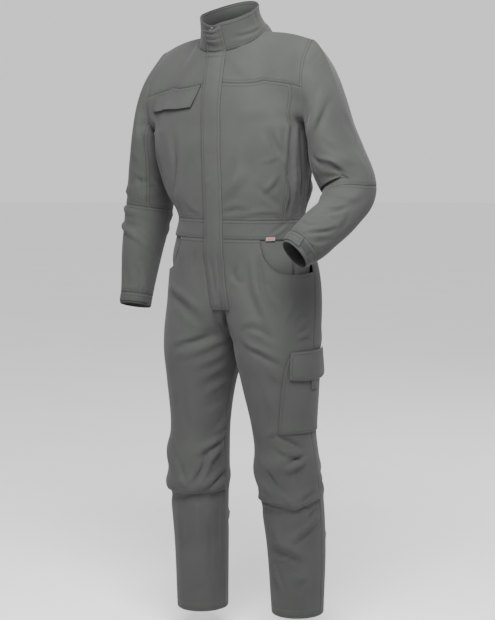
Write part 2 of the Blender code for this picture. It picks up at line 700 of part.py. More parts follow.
def make_skin(skin):
    top_turns = slice(SLEEVE_SEAM, -SLEEVE_SEAM)
    for side in SIDES:
        cloth("leg_front_" + side, skin.part("leg_front_" + side))
        cloth("leg_back_" + side, skin.part("leg_back_" + side), gap=0.0004)
        cloth("waistband_front_" + side, skin.part("band_front_" + side))
        low, front = slice(0, YOKE_ROW + 1), "front_" + side
        cloth(front, skin.part(front, slice(0, PRINCESS + 1), low))
        cloth("side_" + side, skin.part(front, slice(PRINCESS, None), low))
        cloth("yoke_" + side, skin.part(front, rows=slice(YOKE_ROW, None)))
        sleeve = "sleeve_" + side
        cloth("sleeve_top_" + side, skin.part(sleeve, top_turns))
        ends = skin.part(sleeve, slice(0, SLEEVE_SEAM + 1)), skin.part(sleeve, slice(-SLEEVE_SEAM - 1, None))
        ends = ends[::-1] if faces_out(sleeve) else ends
        cloth("sleeve_under_" + side, join(*ends), gap=0.0006)
        cloth("forearm_" + side, skin.part("forearm_" + side), gap=0.0006)
        cloth("cuff_" + side, skin.part("cuff_" + side))
    cloth("back", join(skin.part("back_L"), skin.part("back_R")))
    cloth("waistband_back", join(skin.part("band_back_L"), skin.part("band_back_R")))
    cloth("collar", join(skin.part("collar_L"), skin.part("collar_R")), wall=COLLAR_WALL, gap=0.0004)


# --- what lies on the panels -------------------------------------------------
def make_chest_flap(skin):
    """Hangs from the right yoke seam; its inner end is cut slanting."""
    down = np.array((0.0, 0.25, 0.5, 1.0))
    start = 1.14 + 0.29 * down
    across = np.stack((start, (start + 3) / 2, *np.outer((3, 4, 5, 6, 6.92), np.ones(4))))
    low = np.interp(across, (0, 2, 3.6, 5.5, 6.92), (8.97, 9.0, 9.22, 9.22, 9.60))
    up = (YOKE_ROW - 0.04) * (1 - down) + low * down
    lift = LIFT + 0.0035 * down**2
    lay_on("chest_flap_R", skin.panel("front_R"), across, up, TWILL, lift)


KNEE = {"L": (0.296, 0.455), "R": (0.32, 0.455)}  # the rows of a knee pocket's edges
# How far the lower edge lies above its row, in rows, at each column of the panel.
KNEE_EDGE = {
    "L": (0.5, 0.5, 0.5, 0.55, 0.6, 0.45, 0.2, -0.1, 0.3, 0.7, 0.85),
    "R": (0.1, 0.0, 0.0, 0.0, 0.0, 0.0, 0.0, 0.0, 0.0, 0.0, 0.0),
}


def make_knee_patch(skin, side):
    low, high = (LEG_ROWS.index(row) for row in KNEE[side])
    across = np.array((0.08, 1, 2, 3, 4, 5, 6, 7, 8, 9, 9.92))
    up = np.tile(np.arange(low, high + 1.0), (len(across), 1))
    lift = np.interp(up, (low, low + 1, low + 2), (0.0030, 0.0012, 0.0006))
    up[:, 0] += KNEE_EDGE[side]
    up[:, 1] = np.maximum(low + 1, up[:, 0] + 0.35)
    lay_on("knee_patch_" + side, skin.panel("leg_front_" + side), across[:, None], up, TWILL, lift)


def make_hip_facing(side):
    """The inside of a hip pocket, seen through its mouth."""
    u, height = np.meshgrid(ramp(0.37, 0.992, 8), ramp(0.862, BAND_LOW - 0.001, 4), indexing="ij")
    points = body_point(side, "front", u, height)
    normals = outward(points) * SIDES[side]
    panel = {"points": points, "normals": normals}
    lay_on("hip_facing_" + side, panel, ramp(0, 8, 8)[:, None], ramp(0, 4, 4), TWILL, -2 * WALL - 0.0022)


def cargo_panel(skin):
    """The left leg's front and back as one panel, round the outside of the thigh."""
    rows = slice(0, len(LEG_ROWS))
    front, back = (skin.panel("leg_" + face + "_L", rows) for face in FACES)
    return {key: np.concatenate((front[key], back[key][-2::-1])) for key in front}


def make_cargo_pocket(skin):
    thigh = cargo_panel(skin)
    low, high = LEG_ROWS.index(0.49) + 0.02, LEG_ROWS.index(0.69) - 0.15
    up = np.array((low, 15, 16, 17, 18, high))
    share = (up - low) / (high - low)
    start, end = 6.35 + 1.2 * share, 13.1 - 0.8 * share
    across = np.stack((start, (start + 8) / 2, *np.outer(range(8, 13), np.ones(6)), end))
    edge = (across - start) / (end - start)
    lift = LIFT + 0.0004 + PUFF * np.sin(np.pi * edge) * np.sin(np.pi * share)
    pocket = lay_on("cargo_pocket_L", thigh, across, up, TWILL, lift)

    low, high = LEG_ROWS.index(0.62) + 0.30, LEG_ROWS.index(0.69) + 0.5
    up = np.array((low, 18, 19, high))
    share = (high - up) / (high - low)
    across = np.array((7.62, 8, 9, 10, 11, 12, 12.65))[:, None]
    edge = (across - 7.62) / 5.03
    lift = LIFT + WALL + 0.0005 + (0.006 + 0.006 * edge) * share
    lay_on("cargo_flap_L", thigh, across, up, TWILL, lift)

    tab = np.array((3.55, 4.0, 4.3))[:, None]
    lay_on("cargo_tab_L", pocket, tab, np.array((2.6, 3.0, 3.35)), TWILL_DARK, LIFT)


def make_front_flap(skin):
    """The storm flap over the zip, sewn on the wearer's left, and the zip under it."""
    rows = (
        ("leg_front_", slice(LEG_ROWS.index(FLY_END), None)),
        ("band_front_", slice(1, None)),
        ("front_", slice(1, None)),
        ("collar_", slice(1, None)),
    )
    strip = {}
    for key, where in (("points", skin.points), ("normals", skin.normals)):
        halves = [
            np.concatenate([where[name + side][:2, part] for name, part in rows], 1) for side in "RL"
        ]
        strip[key] = np.concatenate((halves[0][::-1], halves[1][1:]))
    last = strip["points"].shape[1] - 1
    up = np.arange(last + 1.0)
    for side, ends in (("R", (0.56, 0.985)), ("L", (1.015, 1.44))):
        tape = np.array((ends[0], sum(ends) / 2, ends[1]))[:, None]
        lay_on("zip_tape_" + side, strip, tape, up, ZIP_GREY, ZIP_LIFT, ZIP_WALL)
    slider = np.array((0.83, 1.0, 1.17))[:, None]
    top = ramp(last - 0.62, last - 0.12, 2)
    lay_on("zip_slider", strip, slider, top, METAL, SLIDER_LIFT, SLIDER_WALL)
    across = np.array((0.0, 0.5, 1.0, 1.5, 2.0))[:, None]
    collar = np.clip((up - (last - 4)) / 2, 0, 1)
    lift = np.array((0.0034, 0.0040, 0.0042, 0.0032, 0.0008))[:, None]
    lift = lift + 0.0020 * collar * np.array((0.6, 1.0, 1.0, 0.5, 0.0))[:, None]
    up = np.clip(up, 0, last - 0.92 * (1 - across / 2))
    lay_on("front_flap", strip, across, up, TWILL, lift, FLAP_WALL)


def make_label(skin):
    across = np.array((4.62, 5.10, 5.58))[:, None]
    lay_on("label_tab", skin.panel("band_front_L"), across, ramp(-0.2, 0.22, 2), LABEL_RED, 0.0006, 0.0010)


def make_cuff_strap(skin, side):
    across, up = np.array((0.3, 1, 2, 3, 4, 4.4))[:, None], np.array((0.3, 1.0, 1.8))
    lay_on("cuff_strap_" + side, skin.panel("cuff_" + side), across, up, TWILL, 0.0009)


def main():
    for old in list(bpy.data.objects):
        bpy.data.objects.remove(old)
    skin = Skin()
    make_skin(skin)
    make_chest_flap(skin)
    make_cargo_pocket(skin)
    make_front_flap(skin)
    make_label(skin)
    for side in SIDES:
        make_knee_patch(skin, side)
        make_hip_facing(side)
        make_cuff_strap(skin, side)


main()
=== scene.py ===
# %% [markdown]
# # A worn boiler suit, piece by piece
# A boiler suit is cut from about forty flat pieces of twill and sewn into one
# garment. Here it is shown as it hangs on a wearer, with nobody in it. The plan is
# the tailor's: first the worn form, then the pieces that are sewn edge to edge, then
# what is sewn on top of them, then thread, zip and label. Each piece is one object.

import bmesh
import bpy
import numpy as np
from mathutils import Matrix, Vector


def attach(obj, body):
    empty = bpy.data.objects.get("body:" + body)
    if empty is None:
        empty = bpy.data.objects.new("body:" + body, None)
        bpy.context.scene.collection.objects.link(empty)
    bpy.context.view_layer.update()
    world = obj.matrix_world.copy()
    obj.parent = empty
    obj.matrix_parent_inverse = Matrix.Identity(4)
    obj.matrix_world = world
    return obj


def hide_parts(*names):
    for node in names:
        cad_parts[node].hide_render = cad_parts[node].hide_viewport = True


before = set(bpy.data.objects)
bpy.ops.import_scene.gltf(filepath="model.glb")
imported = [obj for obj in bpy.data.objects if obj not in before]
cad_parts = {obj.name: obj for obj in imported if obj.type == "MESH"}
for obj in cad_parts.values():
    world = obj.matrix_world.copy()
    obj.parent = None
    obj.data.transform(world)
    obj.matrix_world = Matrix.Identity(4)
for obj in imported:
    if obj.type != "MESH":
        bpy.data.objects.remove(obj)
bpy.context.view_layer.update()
NECK_CENTRE = np.array((-0.012, -0.047, 1.462))  # the origin, above the trouser hems
print("nodes in the frame:", len(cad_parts))

# %% [markdown]
# ## Camera, light and floor
# A catalogue picture is taken with a long lens from well back, so that the legs
# don't look shorter than the chest. One large soft light stands high beside the
# camera, a weaker one fills the other side, and the floor is plain and pale.


# %% Camera
camera = bpy.data.cameras.new("camera")
camera.lens = 98.9
camera.sensor_width = 36.0
camera.sensor_fit = "AUTO"
view = bpy.data.objects.new("camera", camera)
view.location = (2.354, -3.559, -0.212)
view.rotation_euler = np.radians((83.8, 0.0, 33.0))
bpy.context.scene.collection.objects.link(view)
bpy.context.scene.camera = view
print("camera is", round(view.location.length, 2), "m from the neck")


# %% Colours
def srgb(code, alpha=1.0):
    """A hex colour such as #6b6c6b as the linear values that a shader takes."""
    parts = [int(code[i : i + 2], 16) / 255 for i in (1, 3, 5)]
    return (*(c / 12.92 if c <= 0.04045 else ((c + 0.055) / 1.055) ** 2.4 for c in parts), alpha)


# %% Lights
AIM = Vector((0.0, -0.05, -0.62))


def soft_light(name, place, size, power, tint="#ffffff"):
    data = bpy.data.lights.new(name, "AREA")
    data.shape = "RECTANGLE"
    data.size, data.size_y = size
    data.energy = power
    data.color = srgb(tint)[:3]
    lamp = bpy.data.objects.new(name, data)
    lamp.location = place
    lamp.rotation_euler = (AIM - Vector(place)).to_track_quat("-Z", "Y").to_euler()
    bpy.context.scene.collection.objects.link(lamp)
    return lamp


lamps = [
    soft_light("key_light", (0.80, -1.25, 1.00), (1.2, 1.0), 138),
    soft_light("fill_light", (-1.9, -3.0, 0.5), (1.6, 2.4), 8),
    soft_light("back_light", (0.6, 3.4, 1.6), (2.5, 1.5), 55),
]
world = bpy.data.worlds.new("studio")
world.use_nodes = True
world.node_tree.nodes["Background"].inputs["Color"].default_value = srgb("#ffffff")
world.node_tree.nodes["Background"].inputs["Strength"].default_value = 0.95
bpy.context.scene.world = world
print("lamps:", [lamp.name for lamp in lamps])

# %% Floor
bm = bmesh.new()
bmesh.ops.create_circle(bm, cap_ends=True, segments=96, radius=25)
bmesh.ops.translate(bm, vec=(0, 0, -1.53), verts=bm.verts)
floor_mesh = bpy.data.meshes.new("floor")
bm.to_mesh(floor_mesh)
bm.free()
floor = bpy.data.objects.new("floor", floor_mesh)
bpy.context.scene.collection.objects.link(floor)

# %% [markdown]
# ## Finishes
# The cloth is a mixed cotton and polyester twill, given a mid grey by piece dyeing.
# Twill is woven so that each thread steps over by one, which gives fine slanting
# ribs; the dye, the pressing and wear leave it slightly uneven. Its hairs catch the
# light at the edges of the form, so the shader has a little sheen. Every cloth piece
# carries a UV map in metres of cloth and an attribute with the distance to its
# nearest stitched edge, so ribs follow the cut, the stitching pulls a groove beside
# it, and painted shade darkens the cloth in the seam and along its second row.


# %% A helper for shader nodes
def node(tree, kind, settings=None, **links):
    """Adds a node: settings are attributes or input values, links are input sockets."""
    made = tree.nodes.new("ShaderNode" + kind)
    for key, value in (settings or {}).items():
        if hasattr(made, key):
            setattr(made, key, value)
        else:
            made.inputs[int(key[1:]) if key[0] == "_" else key].default_value = value
    for key, value in links.items():
        socket = made.inputs[int(key[1:]) if key[0] == "_" else key.replace("_", " ")]
        tree.links.new(value, socket)
    return made


def finish(name, colour, roughness, **shader_values):
    made = bpy.data.materials.new(name)
    made.use_nodes = True
    shader = made.node_tree.nodes["Principled BSDF"]
    shader.inputs["Base Color"].default_value = srgb(colour)
    shader.inputs["Roughness"].default_value = roughness
    for key, value in shader_values.items():
        shader.inputs[key.replace("_", " ")].default_value = value
    return made, made.node_tree, shader


# %% Twill
RIB = 0.0016  # a real rib is 0.7 mm; it is drawn wider, as finer ones vanish
SECOND_ROW = 0.0075  # from a seam to its second row of stitches


def twill(name, light, dark, rib=RIB, grooves=True):
    """Woven and pressed twill: ribs, uneven dye, painted shade down in the seams and along each seam's second
    row of stitches.
    """
    made, tree, shader = finish(name, light, 0.86, Sheen_Weight=0.06, Sheen_Roughness=0.45)
    shader.inputs["Specular IOR Level"].default_value = 0.14
    place = node(tree, "TexCoord")
    cloth_map = node(tree, "UVMap", {"uv_map": "cloth"}).outputs["UV"]
    turned = node(tree, "Mapping", {"Rotation": (0, 0, np.radians(58))}, Vector=cloth_map)
    ribs = node(
        tree, "TexWave", {"Scale": 0.314 / rib, "Distortion": 0.6, "Detail": 1.0}, Vector=turned.outputs[0]
    )
    slub = node(tree, "TexNoise", {"Scale": 420.0, "Detail": 2.0}, Vector=cloth_map)
    dye = node(tree, "TexNoise", {"Scale": 14.0, "Detail": 5.0}, Vector=place.outputs["Object"])
    blotch = node(tree, "Mix", {"data_type": "FLOAT", "_0": 0.45}, _2=dye.outputs[0], _3=slub.outputs[0])
    mix = node(tree, "Mix", {"data_type": "RGBA", "_6": srgb(dark), "_7": srgb(light)})
    level = node(tree, "MapRange", {"From Min": 0.30, "From Max": 0.70}, Value=blotch.outputs[0])
    tree.links.new(level.outputs[0], mix.inputs[0])
    # Painted shade: within a few millimetres of a stitched edge, and along the second row of stitches, the
    # colour is mixed towards near-black #232423.
    seam = node(tree, "Attribute", {"attribute_name": "seam"}).outputs["Fac"]
    deep = node(
        tree, "MapRange", {"From Min": 0.0, "From Max": 0.0028, "To Min": 0.5, "To Max": 0.0}, Value=seam
    )
    off_row = node(tree, "Math", {"operation": "SUBTRACT", "_1": SECOND_ROW}, _0=seam)
    off_row = node(tree, "Math", {"operation": "ABSOLUTE"}, _0=off_row.outputs[0])
    row = node(
        tree, "MapRange", {"From Max": 0.0022, "To Min": 0.45, "To Max": 0.0}, Value=off_row.outputs[0]
    )
    deep = node(tree, "Math", {"operation": "MAXIMUM"}, _0=deep.outputs[0], _1=row.outputs[0])
    # Here the painted seam shade is mixed over the uneven dye of the cloth.
    dye_and_seam_shade = node(
        tree, "Mix", {"data_type": "RGBA", "_7": srgb("#232423")}, _0=deep.outputs[0], _6=mix.outputs[2]
    )
    tree.links.new(dye_and_seam_shade.outputs[2], shader.inputs["Base Color"])
    weave = node(tree, "Math", {"operation": "MULTIPLY", "_1": 0.00010}, _0=ribs.outputs["Fac"])
    grain = node(
        tree, "Math", {"operation": "MULTIPLY_ADD", "_1": 0.00012}, _0=slub.outputs[0], _2=weave.outputs[0]
    )
    height = grain.outputs[0]
    if grooves:
        from_seam = node(tree, "Math", {"operation": "MULTIPLY", "_1": 1 / 0.014, "use_clamp": True}, _0=seam)
        ramp = node(tree, "FloatCurve", {}, Value=from_seam.outputs[0])
        curve = ramp.mapping.curves[0]
        curve.points[0].location, curve.points[1].location = (0.0, 0.35), (1.0, 0.62)
        for spot in ((0.07, 0.80), (0.16, 0.45), (0.30, 0.90), (0.52, 0.92), (0.64, 0.50), (0.76, 0.74)):
            curve.points.new(*spot)
        ramp.mapping.update()
        height = node(
            tree, "Math", {"operation": "MULTIPLY_ADD", "_1": 0.0007}, _0=ramp.outputs[0], _2=height
        ).outputs[0]
    bump = node(tree, "Bump", {"Strength": 0.8, "Distance": 1.0}, Height=height)
    tree.links.new(bump.outputs[0], shader.inputs["Normal"])
    return made


TWILL = twill("grey_twill_piece_dyed", "#3b3c3b", "#333433")
print("finish:", TWILL.name)

# %% Trim
TRIM = twill("dark_grey_herringbone_tape", "#3d3e3e", "#343535", rib=0.0010, grooves=False)
ZIP_TAPE = twill("woven_polyester_zip_tape", "#5e5f5e", "#535453", rib=0.0008, grooves=False)
THREAD, thread_tree, thread_shader = finish("spun_polyester_thread", "#303130", 0.6, Sheen_Weight=0.2)
TEETH, _, _ = finish("moulded_acetal_zip_teeth", "#6d6e6e", 0.4)
NICKEL, _, _ = finish("dull_nickel_zip_slider", "#6f7071", 0.55, Metallic=1.0)
HOOKS, hook_tree, hook_shader = finish("nylon_hook_and_loop", "#1f2020", 0.9, Sheen_Weight=0.02)
LABEL_RED = twill("label_damask_red", "#c4492b", "#b23f25", rib=0.0009, grooves=False)
LABEL_GREY = twill("label_damask_edge", "#6e6f6f", "#646565", rib=0.0009, grooves=False)
FLOOR, floor_tree, floor_shader = finish("matt_white_studio_floor", "#f4f4f4", 0.9)
speck = node(floor_tree, "TexNoise", {"Scale": 3.0}, Vector=node(floor_tree, "TexCoord").outputs["Object"])
tones = {"data_type": "RGBA", "_6": srgb("#f2f2f2"), "_7": srgb("#f8f8f8")}
tone = node(floor_tree, "Mix", tones, _0=speck.outputs[0])
floor_tree.links.new(tone.outputs[2], floor_shader.inputs["Base Color"])
floor.data.materials.append(FLOOR)
for tree, shader, size in ((thread_tree, thread_shader, 900.0), (hook_tree, hook_shader, 700.0)):
    twist = node(tree, "TexNoise", {"Scale": size}, Vector=node(tree, "TexCoord").outputs["Object"])
    fuzz = node(tree, "Bump", {"Strength": 0.5, "Distance": 0.0002}, Height=twist.outputs[0])
    tree.links.new(fuzz.outputs[0], shader.inputs["Normal"])
print("finishes:", len(bpy.data.materials))

# %% [markdown]
# ## The worn form
# A tailor describes a body by its girths at named heights. Here each table has a row
# for a height or a place along an arm, and smooth curves run between the rows. The
# numbers are metres above the hems, x to the wearer's left and y to the back. The
# same tables shape the solid parts, so cloth made from them lies where those do.

# %% Sizes
WALL = 0.0016
BAND_LOW, BAND_HIGH = 0.972, 1.019  # the waistband's two seams
FLY_END = 0.796
POCKET_SIDE = 0.890
ARMPIT = 1.240
FLAP_HALF = 0.026
SIDES = {"L": 1.0, "R": -1.0}
FACES = {"front": -1.0, "back": 1.0}


# %% Tables that are read on a smooth curve
class Table:
    """Rows of named columns, read at any place between them on a smooth curve."""

    def __init__(self, names, *rows):
        self.names = names.split()
        self.rows = np.array(rows, float)

    def at(self, place):
        known, values = self.rows[:, 0], self.rows[:, 1:]
        slopes = np.gradient(values, known, axis=0)
        place = np.clip(np.asarray(place, float), known[0], known[-1])
        k = np.clip(np.searchsorted(known, place, side="right") - 1, 0, len(known) - 2)
        step = known[k + 1] - known[k]
        f = ((place - known[k]) / step)[..., None]
        step = step[..., None]
        found = (
            values[k] * (1 + 2 * f) * (1 - f) ** 2
            + slopes[k] * step * f * (1 - f) ** 2
            + values[k + 1] * f**2 * (3 - 2 * f)
            - slopes[k + 1] * step * f**2 * (1 - f)
        )
        return {name: found[..., n] for n, name in enumerate(self.names[1:])}

    def point(self, place):
        row = self.at(place)
        return np.stack((row["x"], row["y"], row["z"]), -1)


# %% Trousers and trunk, section by section
# centre: from the middle plane to the middle of the leg, 0 where the body is one ring.

SECTION = "height centre seam_y out front back power"
TRUNK = (
    (0.715, 0.1055, -0.024, 0.1055, 0.122, 0.118, 2.0),
    (0.735, 0.1010, -0.021, 0.1095, 0.126, 0.123, 2.0),
    (0.760, 0.0920, -0.017, 0.1180, 0.130, 0.128, 2.0),
    (0.800, 0.0750, -0.012, 0.1345, 0.133, 0.134, 2.0),
    (0.850, 0.0480, -0.010, 0.1600, 0.134, 0.135, 2.05),
    (0.900, 0.0220, -0.012, 0.1810, 0.133, 0.126, 2.1),
    (0.940, 0.0080, -0.015, 0.1860, 0.134, 0.113, 2.1),
    (BAND_LOW, 0.0, -0.018, 0.184, 0.132, 0.105, 2.1),
    (BAND_HIGH, 0.0, -0.020, 0.172, 0.130, 0.104, 2.1),
)
UPPER_TRUNK = {
    "L": (
        (1.080, 0.0, -0.022, 0.183, 0.130, 0.115, 2.15),
        (1.150, 0.0, -0.022, 0.192, 0.131, 0.122, 2.2),
        (1.200, 0.0, -0.022, 0.200, 0.131, 0.126, 2.2),
        (ARMPIT, 0.0, -0.022, 0.206, 0.129, 0.128, 2.2),
    ),
    "R": (
        (1.080, 0.0, -0.022, 0.195, 0.130, 0.115, 2.45),
        (1.150, 0.0, -0.022, 0.213, 0.131, 0.122, 2.7),
        (1.200, 0.0, -0.022, 0.222, 0.131, 0.126, 2.9),
        (ARMPIT, 0.0, -0.022, 0.226, 0.129, 0.128, 2.9),
    ),
}
WIDER = {"L": 0.0, "R": 0.020}  # the armhole's foot, with the fuller right side
LEGS = {
    "L": (
        (0.000, 0.1120, 0.066, 0.0665, 0.070, 0.070, 2.0),
        (0.190, 0.1165, 0.048, 0.0760, 0.077, 0.077, 2.0),
        (0.300, 0.1180, 0.026, 0.0805, 0.082, 0.081, 2.0),
        (0.380, 0.1180, 0.010, 0.0800, 0.084, 0.082, 2.0),
        (0.500, 0.1150, -0.012, 0.0800, 0.086, 0.084, 2.0),
        (0.605, 0.1110, -0.024, 0.0920, 0.102, 0.098, 2.0),
        (0.690, 0.1075, -0.026, 0.1030, 0.119, 0.114, 2.0),
    ),
    "R": (
        (0.000, 0.1310, -0.012, 0.0655, 0.070, 0.070, 2.0),
        (0.190, 0.1300, -0.020, 0.0700, 0.074, 0.074, 2.0),
        (0.300, 0.1300, -0.028, 0.0740, 0.079, 0.078, 2.0),
        (0.380, 0.1290, -0.030, 0.0765, 0.083, 0.080, 2.0),
        (0.500, 0.1250, -0.030, 0.0760, 0.083, 0.082, 2.0),
        (0.605, 0.1180, -0.032, 0.0880, 0.098, 0.095, 2.0),
        (0.690, 0.1085, -0.027, 0.1030, 0.118, 0.113, 2.0),
    ),
}
BODY = {side: Table(SECTION, *LEGS[side], *TRUNK, *UPPER_TRUNK[side]) for side in SIDES}
LEAN = Table(
    "height x", (0.0, 0.0), (0.65, 0.0), (0.83, -0.004), (1.0, -0.001), (ARMPIT, -0.007), (1.45, -0.012)
)
# How far the closed front is pulled to the wearer's left: heights, then distances.
FLY_PULL = ((0.735, 0.800, 0.930), (0.0, 0.0145, 0.0))
# How far round from the side seam the middle columns spread, in degrees.
SPREAD = Table(
    "height angle", (0.0, 180), (0.55, 180), (0.66, 170), (0.75, 140), (0.86, 108), (BAND_LOW, 90), (2, 90)
)
ROLL = 0.05  # the right shoulder hangs lower: rise for each metre to the left


# %% Chest, neck and armholes
YOKE_LEVEL = 0.62
CENTRE = {
    "front": Table(
        "level x y z",
        (0.0, -0.007, -0.151, ARMPIT),
        (0.3, -0.009, -0.149, 1.297),
        (YOKE_LEVEL, -0.010, -0.138, 1.356),
        (1.0, -0.012, -0.118, 1.427),
    ),
    "back": Table(
        "level x y z",
        (0.0, -0.007, 0.106, ARMPIT),
        (0.3, -0.009, 0.109, 1.315),
        (YOKE_LEVEL, -0.010, 0.089, 1.410),
        (1.0, -0.012, 0.023, 1.512),
    ),
}
RISE = Table("level share", (0, 0), (0.32, 0.23), (YOKE_LEVEL, 0.48), (0.87, 0.80), (1, 1))
SAG = {"front": 0.12, "back": 0.0}  # less rise half-way between the middle and the armhole
ARMHOLE = {
    "front": Table(
        "level x y z",
        (0.0, 0.206, -0.022, 1.240),
        (0.25, 0.217, -0.079, 1.255),
        (0.45, 0.224, -0.093, 1.291),
        (YOKE_LEVEL, 0.226, -0.099, 1.329),
        (0.82, 0.222, -0.079, 1.392),
        (1.0, 0.217, -0.030, 1.446),
    ),
    "back": Table(
        "level x y z",
        (0.0, 0.206, -0.022, 1.240),
        (0.25, 0.209, 0.026, 1.260),
        (0.45, 0.208, 0.053, 1.297),
        (YOKE_LEVEL, 0.208, 0.062, 1.337),
        (0.82, 0.212, 0.042, 1.400),
        (1.0, 0.217, -0.030, 1.446),
    ),
}
NECK = {"half_width": 0.089, "front": 0.071, "back": 0.070, "slope": 0.60}
NECK_FRONT_Z = 1.427
SHOULDER_TURN = np.radians(96)  # round the neck, from the front to the shoulder seam
RIM = {"half_width": 0.072, "front": 0.076, "back": 0.075, "slope": 0.42}
RIM_CENTRE = np.array((-0.005, -0.073))
RIM_FRONT_Z = 1.493
# The rim falls open at the zip, and stands up beside it on the wearer's right.
RIM_TURNS = (0.0, 0.16, 0.35, 0.56, 0.79, 1.05, 1.31, 1.60, 2.09, 2.62, 3.15)
RIM_RISE = {
    "L": (-0.005, -0.003, 0.0, 0.0, 0.0, 0.0, 0.0, 0.0, 0.0, 0.0, 0.0),
    "R": (-0.005, -0.003, 0.000, 0.004, 0.008, 0.010, 0.009, 0.006, 0.002, 0.0, 0.0),
}


# %% Arms
FIRST_RING = 0.22
ELBOW = {"L": 0.50, "R": 0.55}
ELBOW_SEAM = {"L": 0.54, "R": 0.565}
SEAM_SLANT = {"L": 0.055, "R": 0.0}  # how much later the seam crosses the inner side
SLANT_TURN = 0.12  # the turn at which it crosses latest
HEAD = {"L": 0.10, "R": 0.13}  # how far the sleeve's head stands out
CUFF = 0.955
ARM_COLUMNS = "place x y z out front"
ARM = {
    "L": Table(
        ARM_COLUMNS,
        (0.00, 0.213, -0.025, 1.330, 0.060, 0.085),
        (FIRST_RING, 0.254, -0.022, 1.238, 0.051, 0.080),
        (0.35, 0.272, -0.014, 1.165, 0.066, 0.079),
        (ELBOW["L"], 0.303, -0.016, 1.092, 0.066, 0.068),
        (0.62, 0.305, -0.062, 1.046, 0.056, 0.055),
        (0.80, 0.292, -0.128, 1.004, 0.053, 0.053),
        (CUFF, 0.271, -0.175, 0.965, 0.047, 0.047),
        (1.00, 0.259, -0.196, 0.947, 0.040, 0.040),
    ),
    "R": Table(
        ARM_COLUMNS,
        (0.00, -0.233, -0.025, 1.310, 0.060, 0.085),
        (FIRST_RING, -0.272, -0.024, 1.225, 0.039, 0.082),
        (0.35, -0.283, -0.016, 1.155, 0.050, 0.077),
        (ELBOW["R"], -0.299, -0.006, 1.045, 0.057, 0.071),
        (0.75, -0.305, -0.033, 0.930, 0.050, 0.060),
        (CUFF, -0.300, -0.066, 0.812, 0.041, 0.044),
        (1.00, -0.2995, -0.073, 0.785, 0.040, 0.042),
    ),
}


# %% Points on the body
def rolled(points):
    """Upper-body points with the right shoulder let down."""
    points = np.array(points)
    points[..., 2] += ROLL * points[..., 0]
    return points


def body_point(side, face, u, height):
    """On the trousers or trunk: u is 0 at the middle or inner leg, 1 at the side seam."""
    u, height = np.broadcast_arrays(np.asarray(u, float), np.asarray(height, float))
    row = BODY[side].at(height)
    power, centre = row["power"], np.maximum(row["centre"], 0.0)
    start = np.arccos(-np.minimum(centre / row["out"], 1.0) ** (power / 2))
    wide = np.radians(SPREAD.at(height)["angle"])
    angle = wide * (1 - u) + (start - wide) * (1 - u) ** 4
    cosine, sine = np.cos(angle), np.sin(angle)
    across = np.sign(cosine) * np.abs(cosine) ** (2 / power)
    depth = np.abs(sine) ** (2 / power)
    x = SIDES[side] * (centre + row["out"] * across) + LEAN.at(height)["x"]
    if face == "front":
        x = x + np.interp(height, *FLY_PULL) * (1 - u) ** 2
    y = row["seam_y"] + FACES[face] * row[face] * depth
    upper = np.clip((height - BAND_HIGH) / (ARMPIT - BAND_HIGH), 0, 1)
    return np.stack((x, y, height + ROLL * x * upper), -1)


# %% Points round the neck and over the chest
def neck_point(side, turn, ring, centre, front_z):
    """On the neck seam or the collar's rim, turned from the front round to the back."""
    deep = np.where(np.cos(turn) > 0, ring["front"], ring["back"])
    x = centre[0] + SIDES[side] * ring["half_width"] * np.sin(turn)
    y = centre[1] - deep * np.cos(turn)
    z = front_z + ring["slope"] * (y - centre[1] + ring["front"])
    return rolled(np.stack((x, y, z), -1))


def seam_turn(face, u):
    """How far round the neck a column is, with u from the middle to the shoulder seam."""
    if face == "front":
        return SHOULDER_TURN * u
    return np.pi - (np.pi - SHOULDER_TURN) * u


def top_point(side, face, u):
    """The upper edge of a front or back: half the neck's side, then the shoulder seam."""
    u = np.asarray(u, float)[..., None]
    turn = seam_turn(face, np.clip(u[..., 0] * 2, 0, 1))
    neck = neck_point(side, turn, NECK, NECK_CENTRE, NECK_FRONT_Z)
    corner = neck_point(side, np.array(SHOULDER_TURN), NECK, NECK_CENTRE, NECK_FRONT_Z)
    tip = armhole_point(side, "front", 1.0)
    along = np.clip(u * 2 - 1, 0, 1)
    seam = corner + (tip - corner) * along
    seam[..., 2] += 0.006 * np.sin(np.pi * along[..., 0])
    return np.where(u < 0.5, neck, seam)


def armhole_point(side, face, level):
    point = ARMHOLE[face].point(level)
    level = np.asarray(level, float)
    out = point[..., 0] + WIDER[side] * (1 - level) ** 1.5
    point[..., 0] = SIDES[side] * out - 0.007 - 0.003 * level
    return rolled(point)


def centre_point(face, level):
    return rolled(CENTRE[face].point(level))


def chest_point(side, face, u, level):
    """Between the armpit's section and the neck and shoulder the cloth rises and then
    rolls back; the middle line and the armhole pull it to themselves near them."""
    u, level = np.broadcast_arrays(np.asarray(u, float), np.asarray(level, float))

    def loft(u):
        rise = RISE.at(level)["share"] - SAG[face] * level * (1 - level) * np.sin(np.pi * u)
        low, high = body_point(side, face, u, ARMPIT), top_point(side, face, u)
        share = np.stack((level, 1 - np.sqrt(np.clip(1 - rise**2, 0, 1)), rise), -1)
        return low + (high - low) * share

    middle = centre_point(face, level) - loft(np.zeros(u.shape))
    edge = armhole_point(side, face, level) - loft(np.ones(u.shape))
    return loft(u) + middle * (1 - u[..., None]) ** 2 + edge * u[..., None] ** 3


# %% Points on the sleeves and the collar
def unit(vectors):
    return vectors / np.linalg.norm(vectors, axis=-1, keepdims=True)


